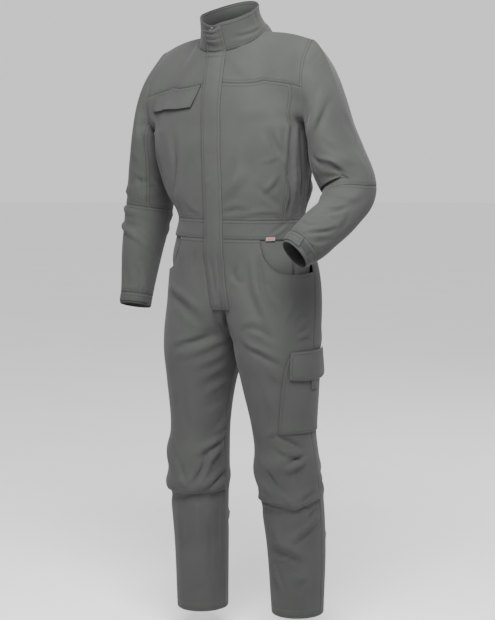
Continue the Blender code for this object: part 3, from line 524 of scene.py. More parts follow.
def ring_point(side, turn, place):
    """On the sleeve's rings: turn is 0 at the body, 0.25 in front, 0.5 outside."""
    turn, place = np.broadcast_arrays(np.asarray(turn, float), np.asarray(place, float))
    row = ARM[side].at(place)
    ahead = unit(ARM[side].point(place + 0.03) - ARM[side].point(place - 0.03))
    aside = np.array((SIDES[side], 0.0, 0.0))
    aside = unit(aside - ahead * (ahead @ aside)[..., None])
    forward = SIDES[side] * np.cross(ahead, aside)
    angle = 2 * np.pi * turn
    point = (
        ARM[side].point(place)
        - aside * (row["out"] * np.cos(angle))[..., None]
        + forward * (row["front"] * np.sin(angle))[..., None]
    )
    return point, ahead


def armhole_loop(side, turn):
    """The armhole from the armpit up its front, over the shoulder and down its back."""
    turn = np.asarray(turn, float)
    front = armhole_point(side, "front", np.clip(2 * turn, 0, 1))
    back = armhole_point(side, "back", np.clip(2 - 2 * turn, 0, 1))
    return np.where(turn[..., None] <= 0.5, front, back)


def sleeve_point(side, turn, place):
    turn, place = np.broadcast_arrays(np.asarray(turn, float), np.asarray(place, float))
    ring, ahead = ring_point(side, turn, np.maximum(place, FIRST_RING))
    f = np.clip(place / FIRST_RING, 0, 1)[..., None]
    over = np.sin(np.pi * turn)[..., None] ** 2  # 0 at the armpit, 1 on the shoulder
    leave = np.array((SIDES[side], 0.0, -0.3)) * (0.01 + HEAD[side] * over)
    arrive = ahead * (0.03 + 0.18 * over)
    cap = (
        armhole_loop(side, turn) * (1 + 2 * f) * (1 - f) ** 2
        + leave * f * (1 - f) ** 2
        + ring * f**2 * (3 - 2 * f)
        - arrive * f**2 * (1 - f)
    )
    return np.where(f < 1, cap, ring)


def collar_point(side, turn, up):
    """From the neck seam (up 0) to the rim (up 1), a little hollow between them."""
    turn, up = np.broadcast_arrays(np.asarray(turn, float), np.asarray(up, float))
    low = neck_point(side, turn, NECK, NECK_CENTRE, NECK_FRONT_Z)
    high = neck_point(side, turn, RIM, RIM_CENTRE, RIM_FRONT_Z)
    high[..., 2] += np.interp(turn, RIM_TURNS, RIM_RISE[side])
    point = low + (high - low) * up[..., None]
    hollow = 0.004 * np.sin(np.pi * up) * (1 - 0.6 * np.cos(turn))
    centre = NECK_CENTRE[:2] + (RIM_CENTRE - NECK_CENTRE[:2]) * up[..., None]
    point[..., :2] -= unit(point[..., :2] - centre) * hollow[..., None]
    return point


print("height of the collar's front:", round(float(collar_point("L", 0.0, 1.0)[2]), 3), "m")

# %% [markdown]
# ## Columns and rows
# Each cut piece is a grid: columns run up the body or along the arm, rows run round
# it. Between two columns or rows of the plan lie several fine ones, with two more
# close to each seam, where the cloth turns down into the stitching. Pieces that
# share a seam share its points, so no gap opens between them.

# %% Columns and rows of the plan
PRINCESS, SCOOP_COLUMN = 7, 4
NECK_COLUMNS = {"front": 5, "back": 4}
LEG_ROWS = (
    0.0, 0.012, 0.06, 0.11, 0.16, 0.205, 0.245, 0.275, 0.296, 0.32, 0.35, 0.385, 0.42,
    0.455, 0.49, 0.53, 0.575, 0.62, 0.66, 0.69, 0.708, 0.715, 0.722, 0.735, 0.755,
    FLY_END, 0.83, 0.86,
)  # fmt: skip
MOUTH_ROWS = 4  # from the last of those to the waistband or the pocket's mouth
SEAT_ROWS = (0.90, 0.936, BAND_LOW)
BAND_ROWS = (BAND_LOW, (BAND_LOW + BAND_HIGH) / 2, BAND_HIGH)
TRUNK_ROWS = (BAND_HIGH, 1.045, 1.08, 1.115, 1.15, 1.18, 1.21, ARMPIT)
LEVELS = (0.0, 0.16, 0.32, 0.47, YOKE_LEVEL, 0.74, 0.87, 1.0)
UPPER_ROWS = TRUNK_ROWS + tuple(ARMPIT + level for level in LEVELS[1:])
YOKE_ROW = UPPER_ROWS.index(ARMPIT + YOKE_LEVEL)
FRONT_KNOTS = Table(
    "place fourth fifth princess",
    (0.0, 0.40, 0.50, 0.70),
    (0.86, 0.42, 0.51, 0.70),
    (BAND_LOW, 0.43, 0.52, 0.70),
    (BAND_HIGH, 0.43, 0.52, 0.70),
    (1.10, 0.40, 0.49, 0.68),
    (ARMPIT, 0.38, 0.475, 0.64),
    (ARMPIT + 0.16, 0.40, 0.50, 0.69),
    (ARMPIT + YOKE_LEVEL, 0.48, 0.60, 0.84),
    (ARMPIT + 1.0, 0.398, 0.50, 0.70),
)
MOUTH = Table(
    "column u height",
    (4, 0.430, BAND_LOW),
    (5, 0.440, 0.946),
    (6, 0.480, 0.916),
    (7, 0.565, 0.894),
    (8, 0.690, 0.886),
    (9, 0.845, 0.886),
    (10, 1.000, POCKET_SIDE),
)
COLLAR_ROWS = (0.0, 0.2, 0.45, 0.75, 1.0)
UPPER_ARM = (0.0, 0.045, 0.09, 0.135, 0.18, FIRST_RING, 0.265, 0.31, 0.35, 0.40, 0.45)
FOREARM_STEPS = 9
STEPS = 5  # fine steps to each one of the plan
CLOSE = (0.04, 0.12)  # the two more beside a seam
SEAMS = {"front": (0, 7, 10), "back": (0, 6, 9), "turn": (0, 2, 4, 7, 10, 12, 14)}


# %% Where a column lies on a row
def skin_point(side, face, u, place):
    """On the trousers, trunk or chest, by a row's place."""
    place = np.asarray(place, float)
    low = body_point(side, face, u, np.minimum(place, ARMPIT))
    high = chest_point(side, face, u, np.clip(place - ARMPIT, 0, 1))
    return np.where((place > ARMPIT)[..., None], high, low)


def flap_column(side, place):
    """How far from the middle the front flap's edge lies, as a share of the row."""
    u = np.linspace(0, 0.3, 61)
    x = skin_point(side, "front", u, np.full(u.shape, place))[:, 0]
    edge = np.interp(FLAP_HALF, np.abs(x - x[0]), u)
    return edge if place >= FLY_END else min(edge, 0.1)


def columns(side, face, place):
    if face == "back":
        top = np.clip(place - ARMPIT, 0, 1)
        corner = 4 / 9 * (1 - top) + 0.5 * top
        return np.interp(range(10), (0, NECK_COLUMNS["back"], 9), (0, corner, 1))
    knots = {name: float(values) for name, values in FRONT_KNOTS.at(place).items()}
    return np.interp(
        range(11),
        (0, 1, 4, 5, PRINCESS, 10),
        (0, flap_column(side, place), knots["fourth"], knots["fifth"], knots["princess"], 1),
    )


def sleeve_turns():
    front = np.array(LEVELS) / 2
    return np.concatenate((front, 1 - front[-2::-1]))


def arm_places(side, turns, places):
    """The rows' places at every turn, slanted near the elbow seam as that is."""
    near = np.clip(1 - np.abs(places - ELBOW_SEAM[side]) / 0.17, 0, 1)
    return places + SEAM_SLANT[side] * near * np.cos(2 * np.pi * (turns - SLANT_TURN))


def collar_turns():
    front = seam_turn("front", 2 * columns("L", "front", ARMPIT + 1.0)[:6])
    back = seam_turn("back", 2 * columns("L", "back", ARMPIT + 1.0)[:5])
    return np.concatenate((front, back[-2::-1]))

# %% Fine columns and rows
def fine(count, seams):
    """Places along a plan of so many steps: the even ones, and two beside each seam."""
    places = set(np.round(np.arange(count * STEPS + 1) / STEPS, 4))
    for seam in seams:
        for close in CLOSE:
            places |= {p for p in (seam - close, seam + close) if 0 < p < count}
    return np.array(sorted(places))


LEG = fine(len(LEG_ROWS) - 1 + MOUTH_ROWS, (0, len(LEG_ROWS) - 1 + MOUTH_ROWS))
LEG_BACK = fine(len(LEG_ROWS) - 1 + len(SEAT_ROWS), (0, len(LEG_ROWS) - 1 + len(SEAT_ROWS)))
BAND = fine(2, (0, 2))
UPPER = fine(len(UPPER_ROWS) - 1, (0, 9, YOKE_ROW, 14))
ARM_ROWS = {side: UPPER_ARM + (ELBOW_SEAM[side],) for side in SIDES}
ARM_FINE = fine(len(UPPER_ARM), (0, len(UPPER_ARM)))
FOREARM, CUFF_FINE, COLLAR_FINE = fine(FOREARM_STEPS, (0, FOREARM_STEPS)), fine(2, (0, 2)), fine(4, (0, 4))
FRONT, BACK, TURNS = fine(10, SEAMS["front"]), fine(9, SEAMS["back"]), fine(14, SEAMS["turn"])
RING = fine(9, (0,))


def read(plan, places):
    return np.interp(places, np.arange(len(plan)), plan)


def skin_part(side, face, across, rows, up):
    """The body's points at fine columns and rows of a plan."""
    points = []
    for place in read(rows, up):
        u = read(columns(side, face, place), across)
        points.append(skin_point(side, face, u, np.full(u.shape, place)))
    return np.stack(points, 1)


def mouth_part(side, across, up):
    """The leg's front from its last plain row to the waistband and the pocket's mouth."""
    low_u = read(columns(side, "front", LEG_ROWS[-1]), across)
    top_u, top_z = read(columns(side, "front", BAND_LOW), across), np.full(across.shape, BAND_LOW)
    scoop = across >= SCOOP_COLUMN
    mouth = MOUTH.at(across[scoop])
    top_u[scoop], top_z[scoop] = mouth["u"], mouth["height"]
    share = up / MOUTH_ROWS
    u = low_u[:, None] + (top_u - low_u)[:, None] * share
    height = LEG_ROWS[-1] + (top_z - LEG_ROWS[-1])[:, None] * share
    return body_point(side, "front", u, height)


# %% Where every piece's points lie before it creases
form = {}
for side in SIDES:
    last = len(LEG_ROWS) - 1
    plain = skin_part(side, "front", FRONT, LEG_ROWS, LEG[LEG <= last])
    mouth = mouth_part(side, FRONT, LEG[LEG > last] - last)
    form["leg_front_" + side] = np.concatenate((plain, mouth), 1)
    form["leg_back_" + side] = skin_part(side, "back", BACK, LEG_ROWS + SEAT_ROWS, LEG_BACK)
    form["band_front_" + side] = skin_part(side, "front", FRONT, BAND_ROWS, BAND)
    form["band_back_" + side] = skin_part(side, "back", BACK, BAND_ROWS, BAND)
    form["front_" + side] = skin_part(side, "front", FRONT, UPPER_ROWS, UPPER)
    form["back_" + side] = skin_part(side, "back", BACK, UPPER_ROWS, UPPER)
    turn = read(sleeve_turns(), TURNS)[:, None]
    seam = ELBOW_SEAM[side]
    upper = arm_places(side, turn, read(ARM_ROWS[side], ARM_FINE))
    lower = arm_places(side, turn, seam + (CUFF - seam) * FOREARM / FOREARM_STEPS)
    form["sleeve_" + side] = sleeve_point(side, turn, upper)
    form["forearm_" + side] = sleeve_point(side, turn, lower)
    form["cuff_" + side] = sleeve_point(side, turn, CUFF + (1 - CUFF) * CUFF_FINE / 2)
    ring = read(collar_turns(), RING)[:, None]
    form["collar_" + side] = collar_point(side, ring, read(COLLAR_ROWS, COLLAR_FINE))
AXES = {
    "leg_front": (FRONT, LEG), "leg_back": (BACK, LEG_BACK), "band_front": (FRONT, BAND),
    "band_back": (BACK, BAND), "front": (FRONT, UPPER), "back": (BACK, UPPER),
    "sleeve": (TURNS, ARM_FINE), "forearm": (TURNS, FOREARM), "cuff": (TURNS, CUFF_FINE),
    "collar": (RING, COLLAR_FINE),
}  # fmt: skip
print("points on the form:", sum(grid.shape[0] * grid.shape[1] for grid in form.values()))


# %% Which way the cloth faces
def faces_out(name):
    return name.endswith("_L") == name.startswith(("leg_front", "band_front", "front", "collar"))


def outward(points):
    normal = np.cross(np.gradient(points, axis=0), np.gradient(points, axis=1))
    return normal / np.maximum(np.linalg.norm(normal, axis=-1, keepdims=True), 1e-12)


def share_normals(grids):
    """Outward normals of all the grids, averaged where the points of two of them meet."""
    points = np.concatenate([grid.reshape(-1, 3) for grid in grids.values()])
    normals = np.concatenate(
        [(outward(grid) * (1 if faces_out(name) else -1)).reshape(-1, 3) for name, grid in grids.items()]
    )
    _, where = np.unique(np.floor(points / 2e-4 + 0.371).astype(int), axis=0, return_inverse=True)
    total = np.zeros((where.max() + 1, 3))
    np.add.at(total, where.ravel(), normals)
    shared, found, start = unit(total[where.ravel()]), {}, 0
    for name, grid in grids.items():
        found[name] = shared[start : start + grid[..., 0].size].reshape(grid.shape)
        start += grid[..., 0].size
    return found


# %% Yokes without a corner
def soften(name, rounds, low, high):
    """Takes the corner at the neck out of a grid, between two of its rows."""
    up = AXES[name[:-2]][1]
    share = np.clip((up - low) / 2, 0, 1) * np.clip((high - up) / 0.8, 0, 1)
    for _ in range(rounds):
        grid = form[name]
        facing = outward(grid)[1:-1]
        bend = grid[:-2] + grid[2:] - 2 * grid[1:-1]
        grid[1:-1] += 0.25 * share[:, None] * facing * np.sum(bend * facing, -1, keepdims=True)


for side in SIDES:
    soften("front_" + side, 26, 7, 13.9)
    soften("back_" + side, 20, 7, 13.9)
print("yokes softened")

# %% [markdown]
# ## Folds and creases
# Cloth that hangs on a body folds where it has length to spare: over the knees, in
# the elbow, at the waist, and in long soft drags from the crotch and the armhole. A
# fold is a line on a piece's own columns and rows, with a width and how far it
# stands out; it fades at both ends, and has a shallow trough on one side. Folds with
# a plus stand out, those with a minus dip in. The first table is the large ones that
# the solids have too.

# %% The large folds
# grid, share of the row and place at both ends, width and how far out, in metres
LARGE = (
    ("leg_front_R", 0.08, 0.340, 0.95, 0.337, 0.020, 0.009),
    ("leg_front_R", 0.10, 0.303, 0.95, 0.301, 0.016, -0.005),
    ("leg_front_R", 0.92, 0.455, 0.50, 0.352, 0.020, 0.007),
    ("leg_front_R", 0.10, 0.435, 0.40, 0.355, 0.018, 0.005),
    ("leg_front_L", 0.05, 0.420, 0.55, 0.310, 0.020, 0.008),
    ("leg_front_L", 0.30, 0.400, 0.85, 0.425, 0.022, 0.006),
    ("leg_front_L", 0.10, 0.283, 0.90, 0.292, 0.016, -0.004),
    ("leg_back_L", 0.10, 0.340, 0.90, 0.355, 0.022, 0.006),
    ("leg_back_R", 0.10, 0.350, 0.90, 0.330, 0.022, 0.006),
    ("leg_back_L", 0.30, 0.690, 0.85, 0.720, 0.022, 0.005),
    ("leg_back_R", 0.30, 0.690, 0.85, 0.720, 0.022, 0.005),
    ("sleeve_L", 0.30, 0.30, 0.44, 0.42, 0.018, 0.006),
    ("sleeve_L", 0.14, 0.40, 0.40, 0.42, 0.015, -0.005),
    ("forearm_L", 0.10, 0.62, 0.36, 0.62, 0.015, 0.005),
    ("forearm_R", 0.10, 0.62, 0.45, 0.60, 0.015, 0.005),
    ("forearm_R", 0.12, 0.71, 0.42, 0.66, 0.015, 0.004),
    ("sleeve_R", 0.10, 0.47, 0.40, 0.50, 0.016, 0.005),
    ("front_L", 0.72, 1.06, 0.86, 1.15, 0.018, 0.005),
    ("front_R", 0.72, 1.06, 0.62, 1.22, 0.018, 0.006),
    ("back_L", 0.30, 1.04, 0.80, 1.10, 0.022, 0.006),
    ("back_R", 0.30, 1.04, 0.80, 1.10, 0.022, 0.006),
)


def plan_point(grid, u, place):
    kind, side = grid.rsplit("_", 1)
    if kind in ("sleeve", "forearm"):
        return sleeve_point(side, u, place)
    return skin_point(side, "back" if "back" in kind else "front", u, place)


share = np.linspace(0, 1, 33)
out = share_normals(form)
moves = {name: np.zeros(grid.shape[:2]) for name, grid in form.items()}
for grid, u0, place0, u1, place1, width, rise in LARGE:
    line = plan_point(grid, u0 + (u1 - u0) * share, place0 + (place1 - place0) * share)
    height = rise * np.sin(np.pi * (0.12 + 0.76 * share))
    low, high = line.min(0) - 3 * width, line.max(0) + 3 * width
    for name, points in form.items():
        near = ((points > low) & (points < high)).all(-1)
        away = np.linalg.norm(points[near][:, None] - line, axis=-1)
        if near.any():
            moves[name][near] += height[away.argmin(-1)] * np.exp(-((away.min(-1) / width) ** 2))
worn = {name: grid + out[name] * moves[name][..., None] for name, grid in form.items()}
print("large folds:", len(LARGE))


# %% The small creases in front
# grid, then where a crease starts, bends and ends in the view, in pixels from the
# top left, then its width in millimetres, minus for a dip on its other side, and
# how far out it stands in millimetres
VIEW_SIZE = np.array((495, 620))
FRONT_CREASES = (
    # chest, wearer's left
    ("front_L", (233, 51), (230, 57), (226, 65), 4, 2.5),
    ("front_L", (236, 50), (241, 47), (250, 46), 6, 1.5),
    ("front_L", (268, 132), (273, 144), (281, 155), 9, -4),
    ("front_L", (276, 128), (280, 140), (284, 150), 8, 2),
    ("front_L", (262, 191), (269, 187), (277, 176), 7, 3),
    ("front_L", (256, 188), (268, 197), (281, 207), 7, -3),
    ("front_L", (262, 162), (270, 160), (277, 157), 6, 1.6),
    ("front_L", (221, 191), (228, 177), (236, 160), 9, -4),
    ("front_L", (222, 200), (232, 188), (244, 172), 12, 3),
    ("front_L", (222, 210), (236, 205), (249, 208), 6, 2.5),
    ("front_L", (236, 216), (258, 212), (281, 214), 6, 2.5),
    ("front_L", (224, 214), (228, 212), (236, 211), 5, -2),
    ("front_L", (232, 118), (250, 112), (268, 108), 22, 2),
    ("front_L", (270, 78), (284, 66), (296, 52), 16, -3),
    ("front_L", (286, 112), (287, 145), (286, 175), 6, 1.5),
    ("front_L", (285, 166), (290, 182), (288, 213), 5, -4),
    ("front_L", (294, 120), (295, 165), (293, 212), 7, 4),
    ("front_L", (300, 130), (302, 165), (300, 205), 6, -5),
    ("front_L", (286, 196), (290, 205), (290, 216), 4, 2.5),
    # chest, wearer's right
    ("front_R", (172, 132), (174, 156), (175, 188), 9, -5),
    ("front_R", (179, 138), (179, 170), (178, 205), 9, 4),
    ("front_R", (158, 118), (165, 150), (172, 182), 6, -2),
    ("front_R", (152, 118), (158, 148), (168, 186), 8, 3),
    ("front_R", (196, 60), (188, 72), (182, 86), 16, -2.5),
    ("front_R", (184, 200), (192, 208), (202, 212), 7, 2),
    # left sleeve
    ("sleeve_L", (319, 53), (309, 64), (300, 80), 5, -3.5),
    ("sleeve_L", (314, 58), (306, 68), (300, 84), 6, 3),
    ("sleeve_L", (331, 98), (322, 116), (312, 149), 7, -5),
    ("sleeve_L", (322, 92), (314, 112), (308, 140), 9, 4),
    ("sleeve_L", (312, 155), (316, 160), (322, 167), 5, -4.5),
    ("sleeve_L", (316, 157), (332, 161), (352, 173), 6, 5),
    ("sleeve_L", (321, 167), (332, 168), (348, 178), 5, -2.6),
    ("sleeve_L", (324, 173), (336, 171), (350, 181), 5, 3.5),
    ("sleeve_L", (325, 182), (332, 178), (343, 182), 5, -1.6),
    ("sleeve_L", (327, 138), (334, 144), (342, 150), 8, 2.5),
    ("sleeve_L", (352, 150), (358, 158), (362, 168), 10, 2),
    ("sleeve_L", (344, 108), (350, 122), (356, 138), 12, 1.8),
    # left forearm
    ("forearm_L", (313, 214), (328, 213), (346, 208), 5, -3),
    ("forearm_L", (316, 209), (330, 207), (348, 203), 6, 3),
    ("forearm_L", (324, 216), (334, 219), (338, 227), 5, -2.5),
    ("forearm_L", (303, 235), (316, 233), (336, 229), 3, -2.6),
    ("forearm_L", (304, 230), (318, 229), (338, 224), 5, 2.6),
    ("forearm_L", (307, 235), (311, 241), (326, 242), 3.5, -2.8),
    ("forearm_L", (312, 237), (320, 236.5), (332, 236), 5, 2),
    ("forearm_L", (319, 233), (320, 238), (320, 243), 3, -1.5),
    ("forearm_L", (342, 196), (352, 198), (362, 192), 10, 2.5),
    ("forearm_L", (350, 214), (345, 224), (338, 232), 9, -2),
    ("forearm_L", (303, 218), (308, 222), (318, 222), 5, 2),
    # right arm
    ("sleeve_R", (138, 176), (141, 184), (143, 196), 6, -3),
    ("sleeve_R", (134, 172), (139, 176), (147, 177), 6, 2),
    ("sleeve_R", (151, 188), (160, 197), (170.5, 205), 7, -4.5),
    ("sleeve_R", (152, 180), (160, 188), (166, 196), 7, 3.5),
    ("sleeve_R", (136, 122), (144, 118), (151, 113), 12, 2),
    ("sleeve_R", (131, 150), (137, 158), (140, 168), 10, 2),
    ("sleeve_R", (142, 130), (146, 142), (149, 156), 9, -2),
    ("forearm_R", (132, 218), (143, 213), (168, 223), 6, -3),
    ("forearm_R", (134, 212), (148, 209), (168, 216), 5, 3),
    ("forearm_R", (125, 225), (134, 229), (144, 241), 7, -2.4),
    ("forearm_R", (127, 221), (138, 222), (150, 233), 7, 1.8),
    ("forearm_R", (146, 246), (156, 236), (167, 229), 8, 3.5),
    ("forearm_R", (149, 252), (158, 244), (165, 236), 6, -2.5),
    ("forearm_R", (138, 262), (144, 274), (146, 290), 9, 2.5),
    ("forearm_R", (124, 262), (126, 276), (128, 290), 9, -2),
    ("forearm_R", (134, 285), (134, 291), (134, 297), 2.5, -2),
    ("forearm_R", (139, 284), (139, 291), (139, 297), 2.5, -2.4),
    ("forearm_R", (144, 286), (144, 292), (143, 297), 2.5, -2),
    ("forearm_R", (129, 287), (129, 292), (129, 297), 2.5, -1.6),
    # waist and hips
    ("band_front_L", (270, 235), (278, 229), (288, 222), 3.5, -2.5),
    ("band_front_L", (273, 236), (281, 232), (287, 227), 3.5, 2),
    ("band_front_L", (251, 238), (251, 235), (250, 231), 2.5, -1.2),
    ("band_front_L", (257, 238), (257, 234), (258, 230), 2.5, -1.2),
    ("leg_front_L", (258, 260), (262, 286), (280, 320), 7, -5),
    ("leg_front_L", (252, 262), (256, 292), (273, 328), 11, 6),
    ("leg_front_L", (267, 282), (272, 292), (280, 302), 7, -3),
    ("leg_front_L", (232, 270), (236, 280), (242, 284), 7, -3.5),
    ("leg_front_L", (240, 262), (240, 272), (234, 284), 9, 3),
    ("leg_front_L", (296, 326), (300, 319), (308, 313), 6, -3),
    ("leg_front_L", (286, 318), (292, 308), (296, 296), 10, 2.5),
    ("leg_front_R", (195, 250), (194, 260), (193, 270), 7, -3),
    ("leg_front_R", (205, 258), (207, 275), (210, 300), 6, -3),
    ("leg_front_R", (170, 285), (185, 297), (201, 313), 9, 4.5),
    ("leg_front_R", (172, 295), (184, 308), (198, 322), 9, -4),
    ("leg_front_R", (182, 248), (184, 262), (183, 276), 8, 2.5),
    ("leg_front_L", (224, 312), (224, 320), (230, 332), 7, -5),
    ("leg_front_R", (214, 313), (217, 322), (224, 332), 7, -4),
    # thighs
    ("leg_front_R", (172, 342), (186, 339), (202, 329), 11.2, 2.8),
    ("leg_front_R", (175, 350), (190, 342), (214, 334), 8.8, -3.3),
    ("leg_front_R", (178, 356), (198, 352), (224, 338), 10, 2.8),
    ("leg_front_R", (196, 366), (210, 361), (228, 350), 8.8, 2.2),
    ("leg_front_R", (202, 379), (216, 371), (233, 361), 7.5, 2.8),
    ("leg_front_R", (205, 386), (218, 380), (233, 370), 7.5, -2.5),
    ("leg_front_R", (205, 396), (218, 386), (232, 377), 8.8, 2.2),
    ("leg_front_R", (203, 409), (217, 402), (230, 391), 8.8, -1.9),
    ("leg_front_R", (183, 386), (182, 402), (184, 420), 15, -2.8),
    ("leg_front_R", (215, 431), (225, 421), (232, 407), 8.8, 2.2),
    ("leg_front_R", (209, 431), (219, 423), (230, 404), 8.8, -1.7),
    ("leg_front_R", (195, 452), (211, 444), (230, 434), 8.8, 2.5),
    ("leg_front_L", (250, 328), (260, 331), (272, 340), 7, -4),
    ("leg_front_L", (243, 337), (258, 349), (278, 360), 8, 4),
    ("leg_front_L", (240, 326), (252, 322), (262, 324), 8, 3),
    ("leg_front_L", (254, 352), (266, 359), (284, 368), 7, -3),
    ("leg_front_L", (266, 369), (272, 376), (282, 381), 5, 2.5),
    ("leg_front_L", (298, 334), (303, 331), (310, 322), 5, -3),
    ("leg_front_L", (298, 340), (304, 336), (312, 336), 5, 2.5),
    ("leg_front_L", (262, 384), (270, 402), (274, 420), 12, 2.5),
    ("leg_front_L", (267, 436), (272, 434), (279, 431), 5, 3),
    # knees
    ("leg_front_R", (178, 452), (182, 470), (188, 486), 6, -4),
    ("leg_front_R", (172, 434), (176, 446), (180, 462), 6, 3),
    ("leg_front_R", (188, 487), (200, 474), (207, 450), 7, -8),
    ("leg_front_R", (197, 454), (208, 446), (230, 432), 7, 5),
    ("leg_front_R", (208, 462), (214, 455), (222, 444), 8, 6),
    ("leg_front_R", (197, 489), (210, 481), (226, 464), 6, 4.5),
    ("leg_front_R", (206, 492), (214, 484), (228, 472), 6, -3.5),
    ("leg_front_R", (176, 478), (184, 484), (188, 487), 5, 3),
    ("leg_front_L", (278, 437), (289, 442), (303, 450), 6, -6),
    ("leg_front_L", (276, 446), (286, 452), (300, 455), 7, 5),
    ("leg_front_L", (284, 466), (294, 461), (306, 456), 5, -7),
    ("leg_front_L", (286, 471), (294, 468), (304, 462), 5, 5),
    ("leg_front_L", (258, 456), (268, 470), (281, 492), 4, 4),
    ("leg_front_L", (281, 492), (287, 501), (294, 508), 4, 3),
    ("leg_front_L", (264, 462), (273, 478), (284, 496), 6, -4.5),
    ("leg_front_L", (262, 480), (268, 490), (276, 498), 7, 3),
    ("leg_front_L", (297, 500), (304, 494), (314, 488), 7, 3),
    # shins
    ("leg_front_R", (184, 500), (186, 530), (186, 560), 12, -4),
    ("leg_front_R", (196, 500), (198, 530), (193, 560), 12, 4),
    ("leg_front_R", (182, 498), (194, 494), (204, 494), 5, -3),
    ("leg_front_R", (210, 520), (212, 540), (211, 565), 12, -3),
    ("leg_front_R", (197, 584), (206, 580), (212, 586), 5, 2.5),
    ("leg_front_R", (188, 592), (198, 591), (208, 588), 6, -2),
    ("leg_front_R", (222, 500), (222, 540), (222, 580), 9, 3),
    ("leg_front_L", (262, 501), (272, 505), (286, 507), 5, -4),
    ("leg_front_L", (300, 512), (306, 506), (310, 508), 4, -3),
    ("leg_front_L", (306, 520), (310, 512), (318, 504), 5, 2.5),
    ("leg_front_L", (270, 550), (284, 556), (304, 567), 6, -6),
    ("leg_front_L", (272, 544), (288, 548), (306, 560), 7, 4.5),
    ("leg_front_L", (292, 549), (306, 538), (320, 523), 6, -3.5),
    ("leg_front_L", (290, 541), (302, 532), (318, 516), 7, 3.5),
    ("leg_front_L", (270, 562), (276, 577), (282, 597), 4, 4),
    ("leg_front_L", (274, 562), (280, 576), (286, 594), 5, -3),
    ("leg_front_L", (292, 588), (298, 590), (307, 583), 6, -4.5),
    ("leg_front_L", (292, 580), (300, 578), (308, 575), 7, 3.5),
    ("leg_front_L", (274, 520), (276, 534), (280, 546), 9, 3),
    ("collar_R", (206, 33), (211, 38), (220, 37), 4.8, -1.2),
    ("collar_R", (207, 29), (212, 33), (218, 32), 4.2, 1.1),
    ("collar_R", (208, 40), (213, 43), (221, 42), 4.2, -1.4),
    ("collar_R", (208, 36), (213, 41), (220, 40), 3.6, 1),
    ("collar_L", (240, 34), (250, 31), (260, 24), 5, 1.6),
    ("collar_L", (232, 38), (244, 35), (256, 30), 5, -1.4),
    ("collar_L", (254, 12), (256, 18), (259, 26), 5, -2),
    ("collar_L", (250, 10), (252, 18), (254, 25), 5, 1.6),
    ("front_R", (208, 149), (212, 150), (217, 148), 3.5, 1.6),
    ("front_R", (208, 171), (212, 172), (217, 170), 3.5, 1.5),
    ("front_R", (207, 182), (212, 183), (217, 181), 3.5, 1.8),
    ("front_R", (208, 200), (212, 198), (218, 200), 5, 1.2),
    ("leg_front_R", (212, 262), (214, 275), (216, 296), 5, -2.5),
    ("leg_front_L", (218, 250), (219, 272), (222, 296), 5, -2.5),
    ("leg_front_R", (213, 303), (218, 304), (224, 302), 4, 1.8),
    ("front_L", (233, 60), (244, 70), (252, 78), 14, 2),
)
print("creases in front:", len(FRONT_CREASES))


# %% The small creases behind
# grid, column and row at both ends, bow, width and how far out in millimetres
BACK_CREASES = (
    ("back_L", 1.00, 0.60, 5.50, 1.00, 0.10, 7, 3),
    ("back_L", 0.20, 1.60, 4.00, 1.30, -0.10, 8, 3.5),
    ("back_L", 2.00, 2.60, 7.00, 2.00, 0.12, 9, 3),
    ("back_L", 7.80, 3.40, 7.40, 0.80, 0.08, 8, -4),
    ("back_L", 6.60, 6.20, 8.20, 8.20, 0.10, 10, -4),
    ("back_L", 3.00, 4.60, 6.20, 6.00, 0.08, 12, 3),
    ("back_R", 0.80, 0.80, 5.00, 0.50, -0.10, 7, 3),
    ("back_R", 0.00, 2.10, 5.00, 1.50, 0.12, 8, 3.5),
    ("back_R", 3.00, 3.20, 7.40, 2.40, 0.10, 9, 3),
    ("back_R", 8.00, 4.20, 7.60, 1.20, -0.08, 8, -4),
    ("back_R", 6.40, 6.60, 8.00, 8.40, 0.10, 10, -4),
    ("back_R", 2.40, 5.20, 5.60, 6.80, 0.08, 12, 3),
    ("leg_back_L", 7.50, 11.60, 3.50, 10.20, 0.12, 9, 4),
    ("leg_back_L", 7.80, 10.40, 4.50, 8.80, 0.10, 9, -4.5),
    ("leg_back_L", 1.50, 6.40, 6.50, 5.90, 0.10, 7, -4),
    ("leg_back_L", 2.50, 5.50, 7.50, 5.20, -0.08, 8, 4.5),
    ("leg_back_L", 2.00, 3.60, 6.00, 2.60, 0.10, 10, 3),
    ("leg_back_L", 5.50, 1.40, 3.00, 0.80, 0.08, 8, 3),
    ("leg_back_R", 7.20, 12.00, 3.20, 10.80, -0.12, 9, 4),
    ("leg_back_R", 7.90, 10.60, 4.20, 9.40, 0.10, 9, -4.5),
    ("leg_back_R", 2.00, 6.70, 7.00, 6.20, -0.10, 7, -4),
    ("leg_back_R", 1.50, 5.80, 6.80, 5.40, 0.08, 8, 4.5),
    ("leg_back_R", 3.00, 4.00, 6.80, 2.80, 0.10, 10, 3),
    ("leg_back_R", 5.00, 1.80, 2.60, 1.00, 0.08, 8, 3),
)
print("creases behind:", len(BACK_CREASES))


# %% From the view to the cloth
out = share_normals(worn)
EYE = np.array(view.location) + NECK_CENTRE
TURN = np.array(view.rotation_euler.to_matrix())
PIXELS = camera.lens / camera.sensor_width * VIEW_SIZE.max()
seen, faced = {}, {}
for name, points in worn.items():
    ahead = (points - EYE) @ TURN
    seen[name] = VIEW_SIZE / 2 - PIXELS * ahead[..., :2] / ahead[..., 2:] * (1, -1)
    faced[name] = np.einsum("ijk,ijk->ij", EYE - points, out[name]) > 0


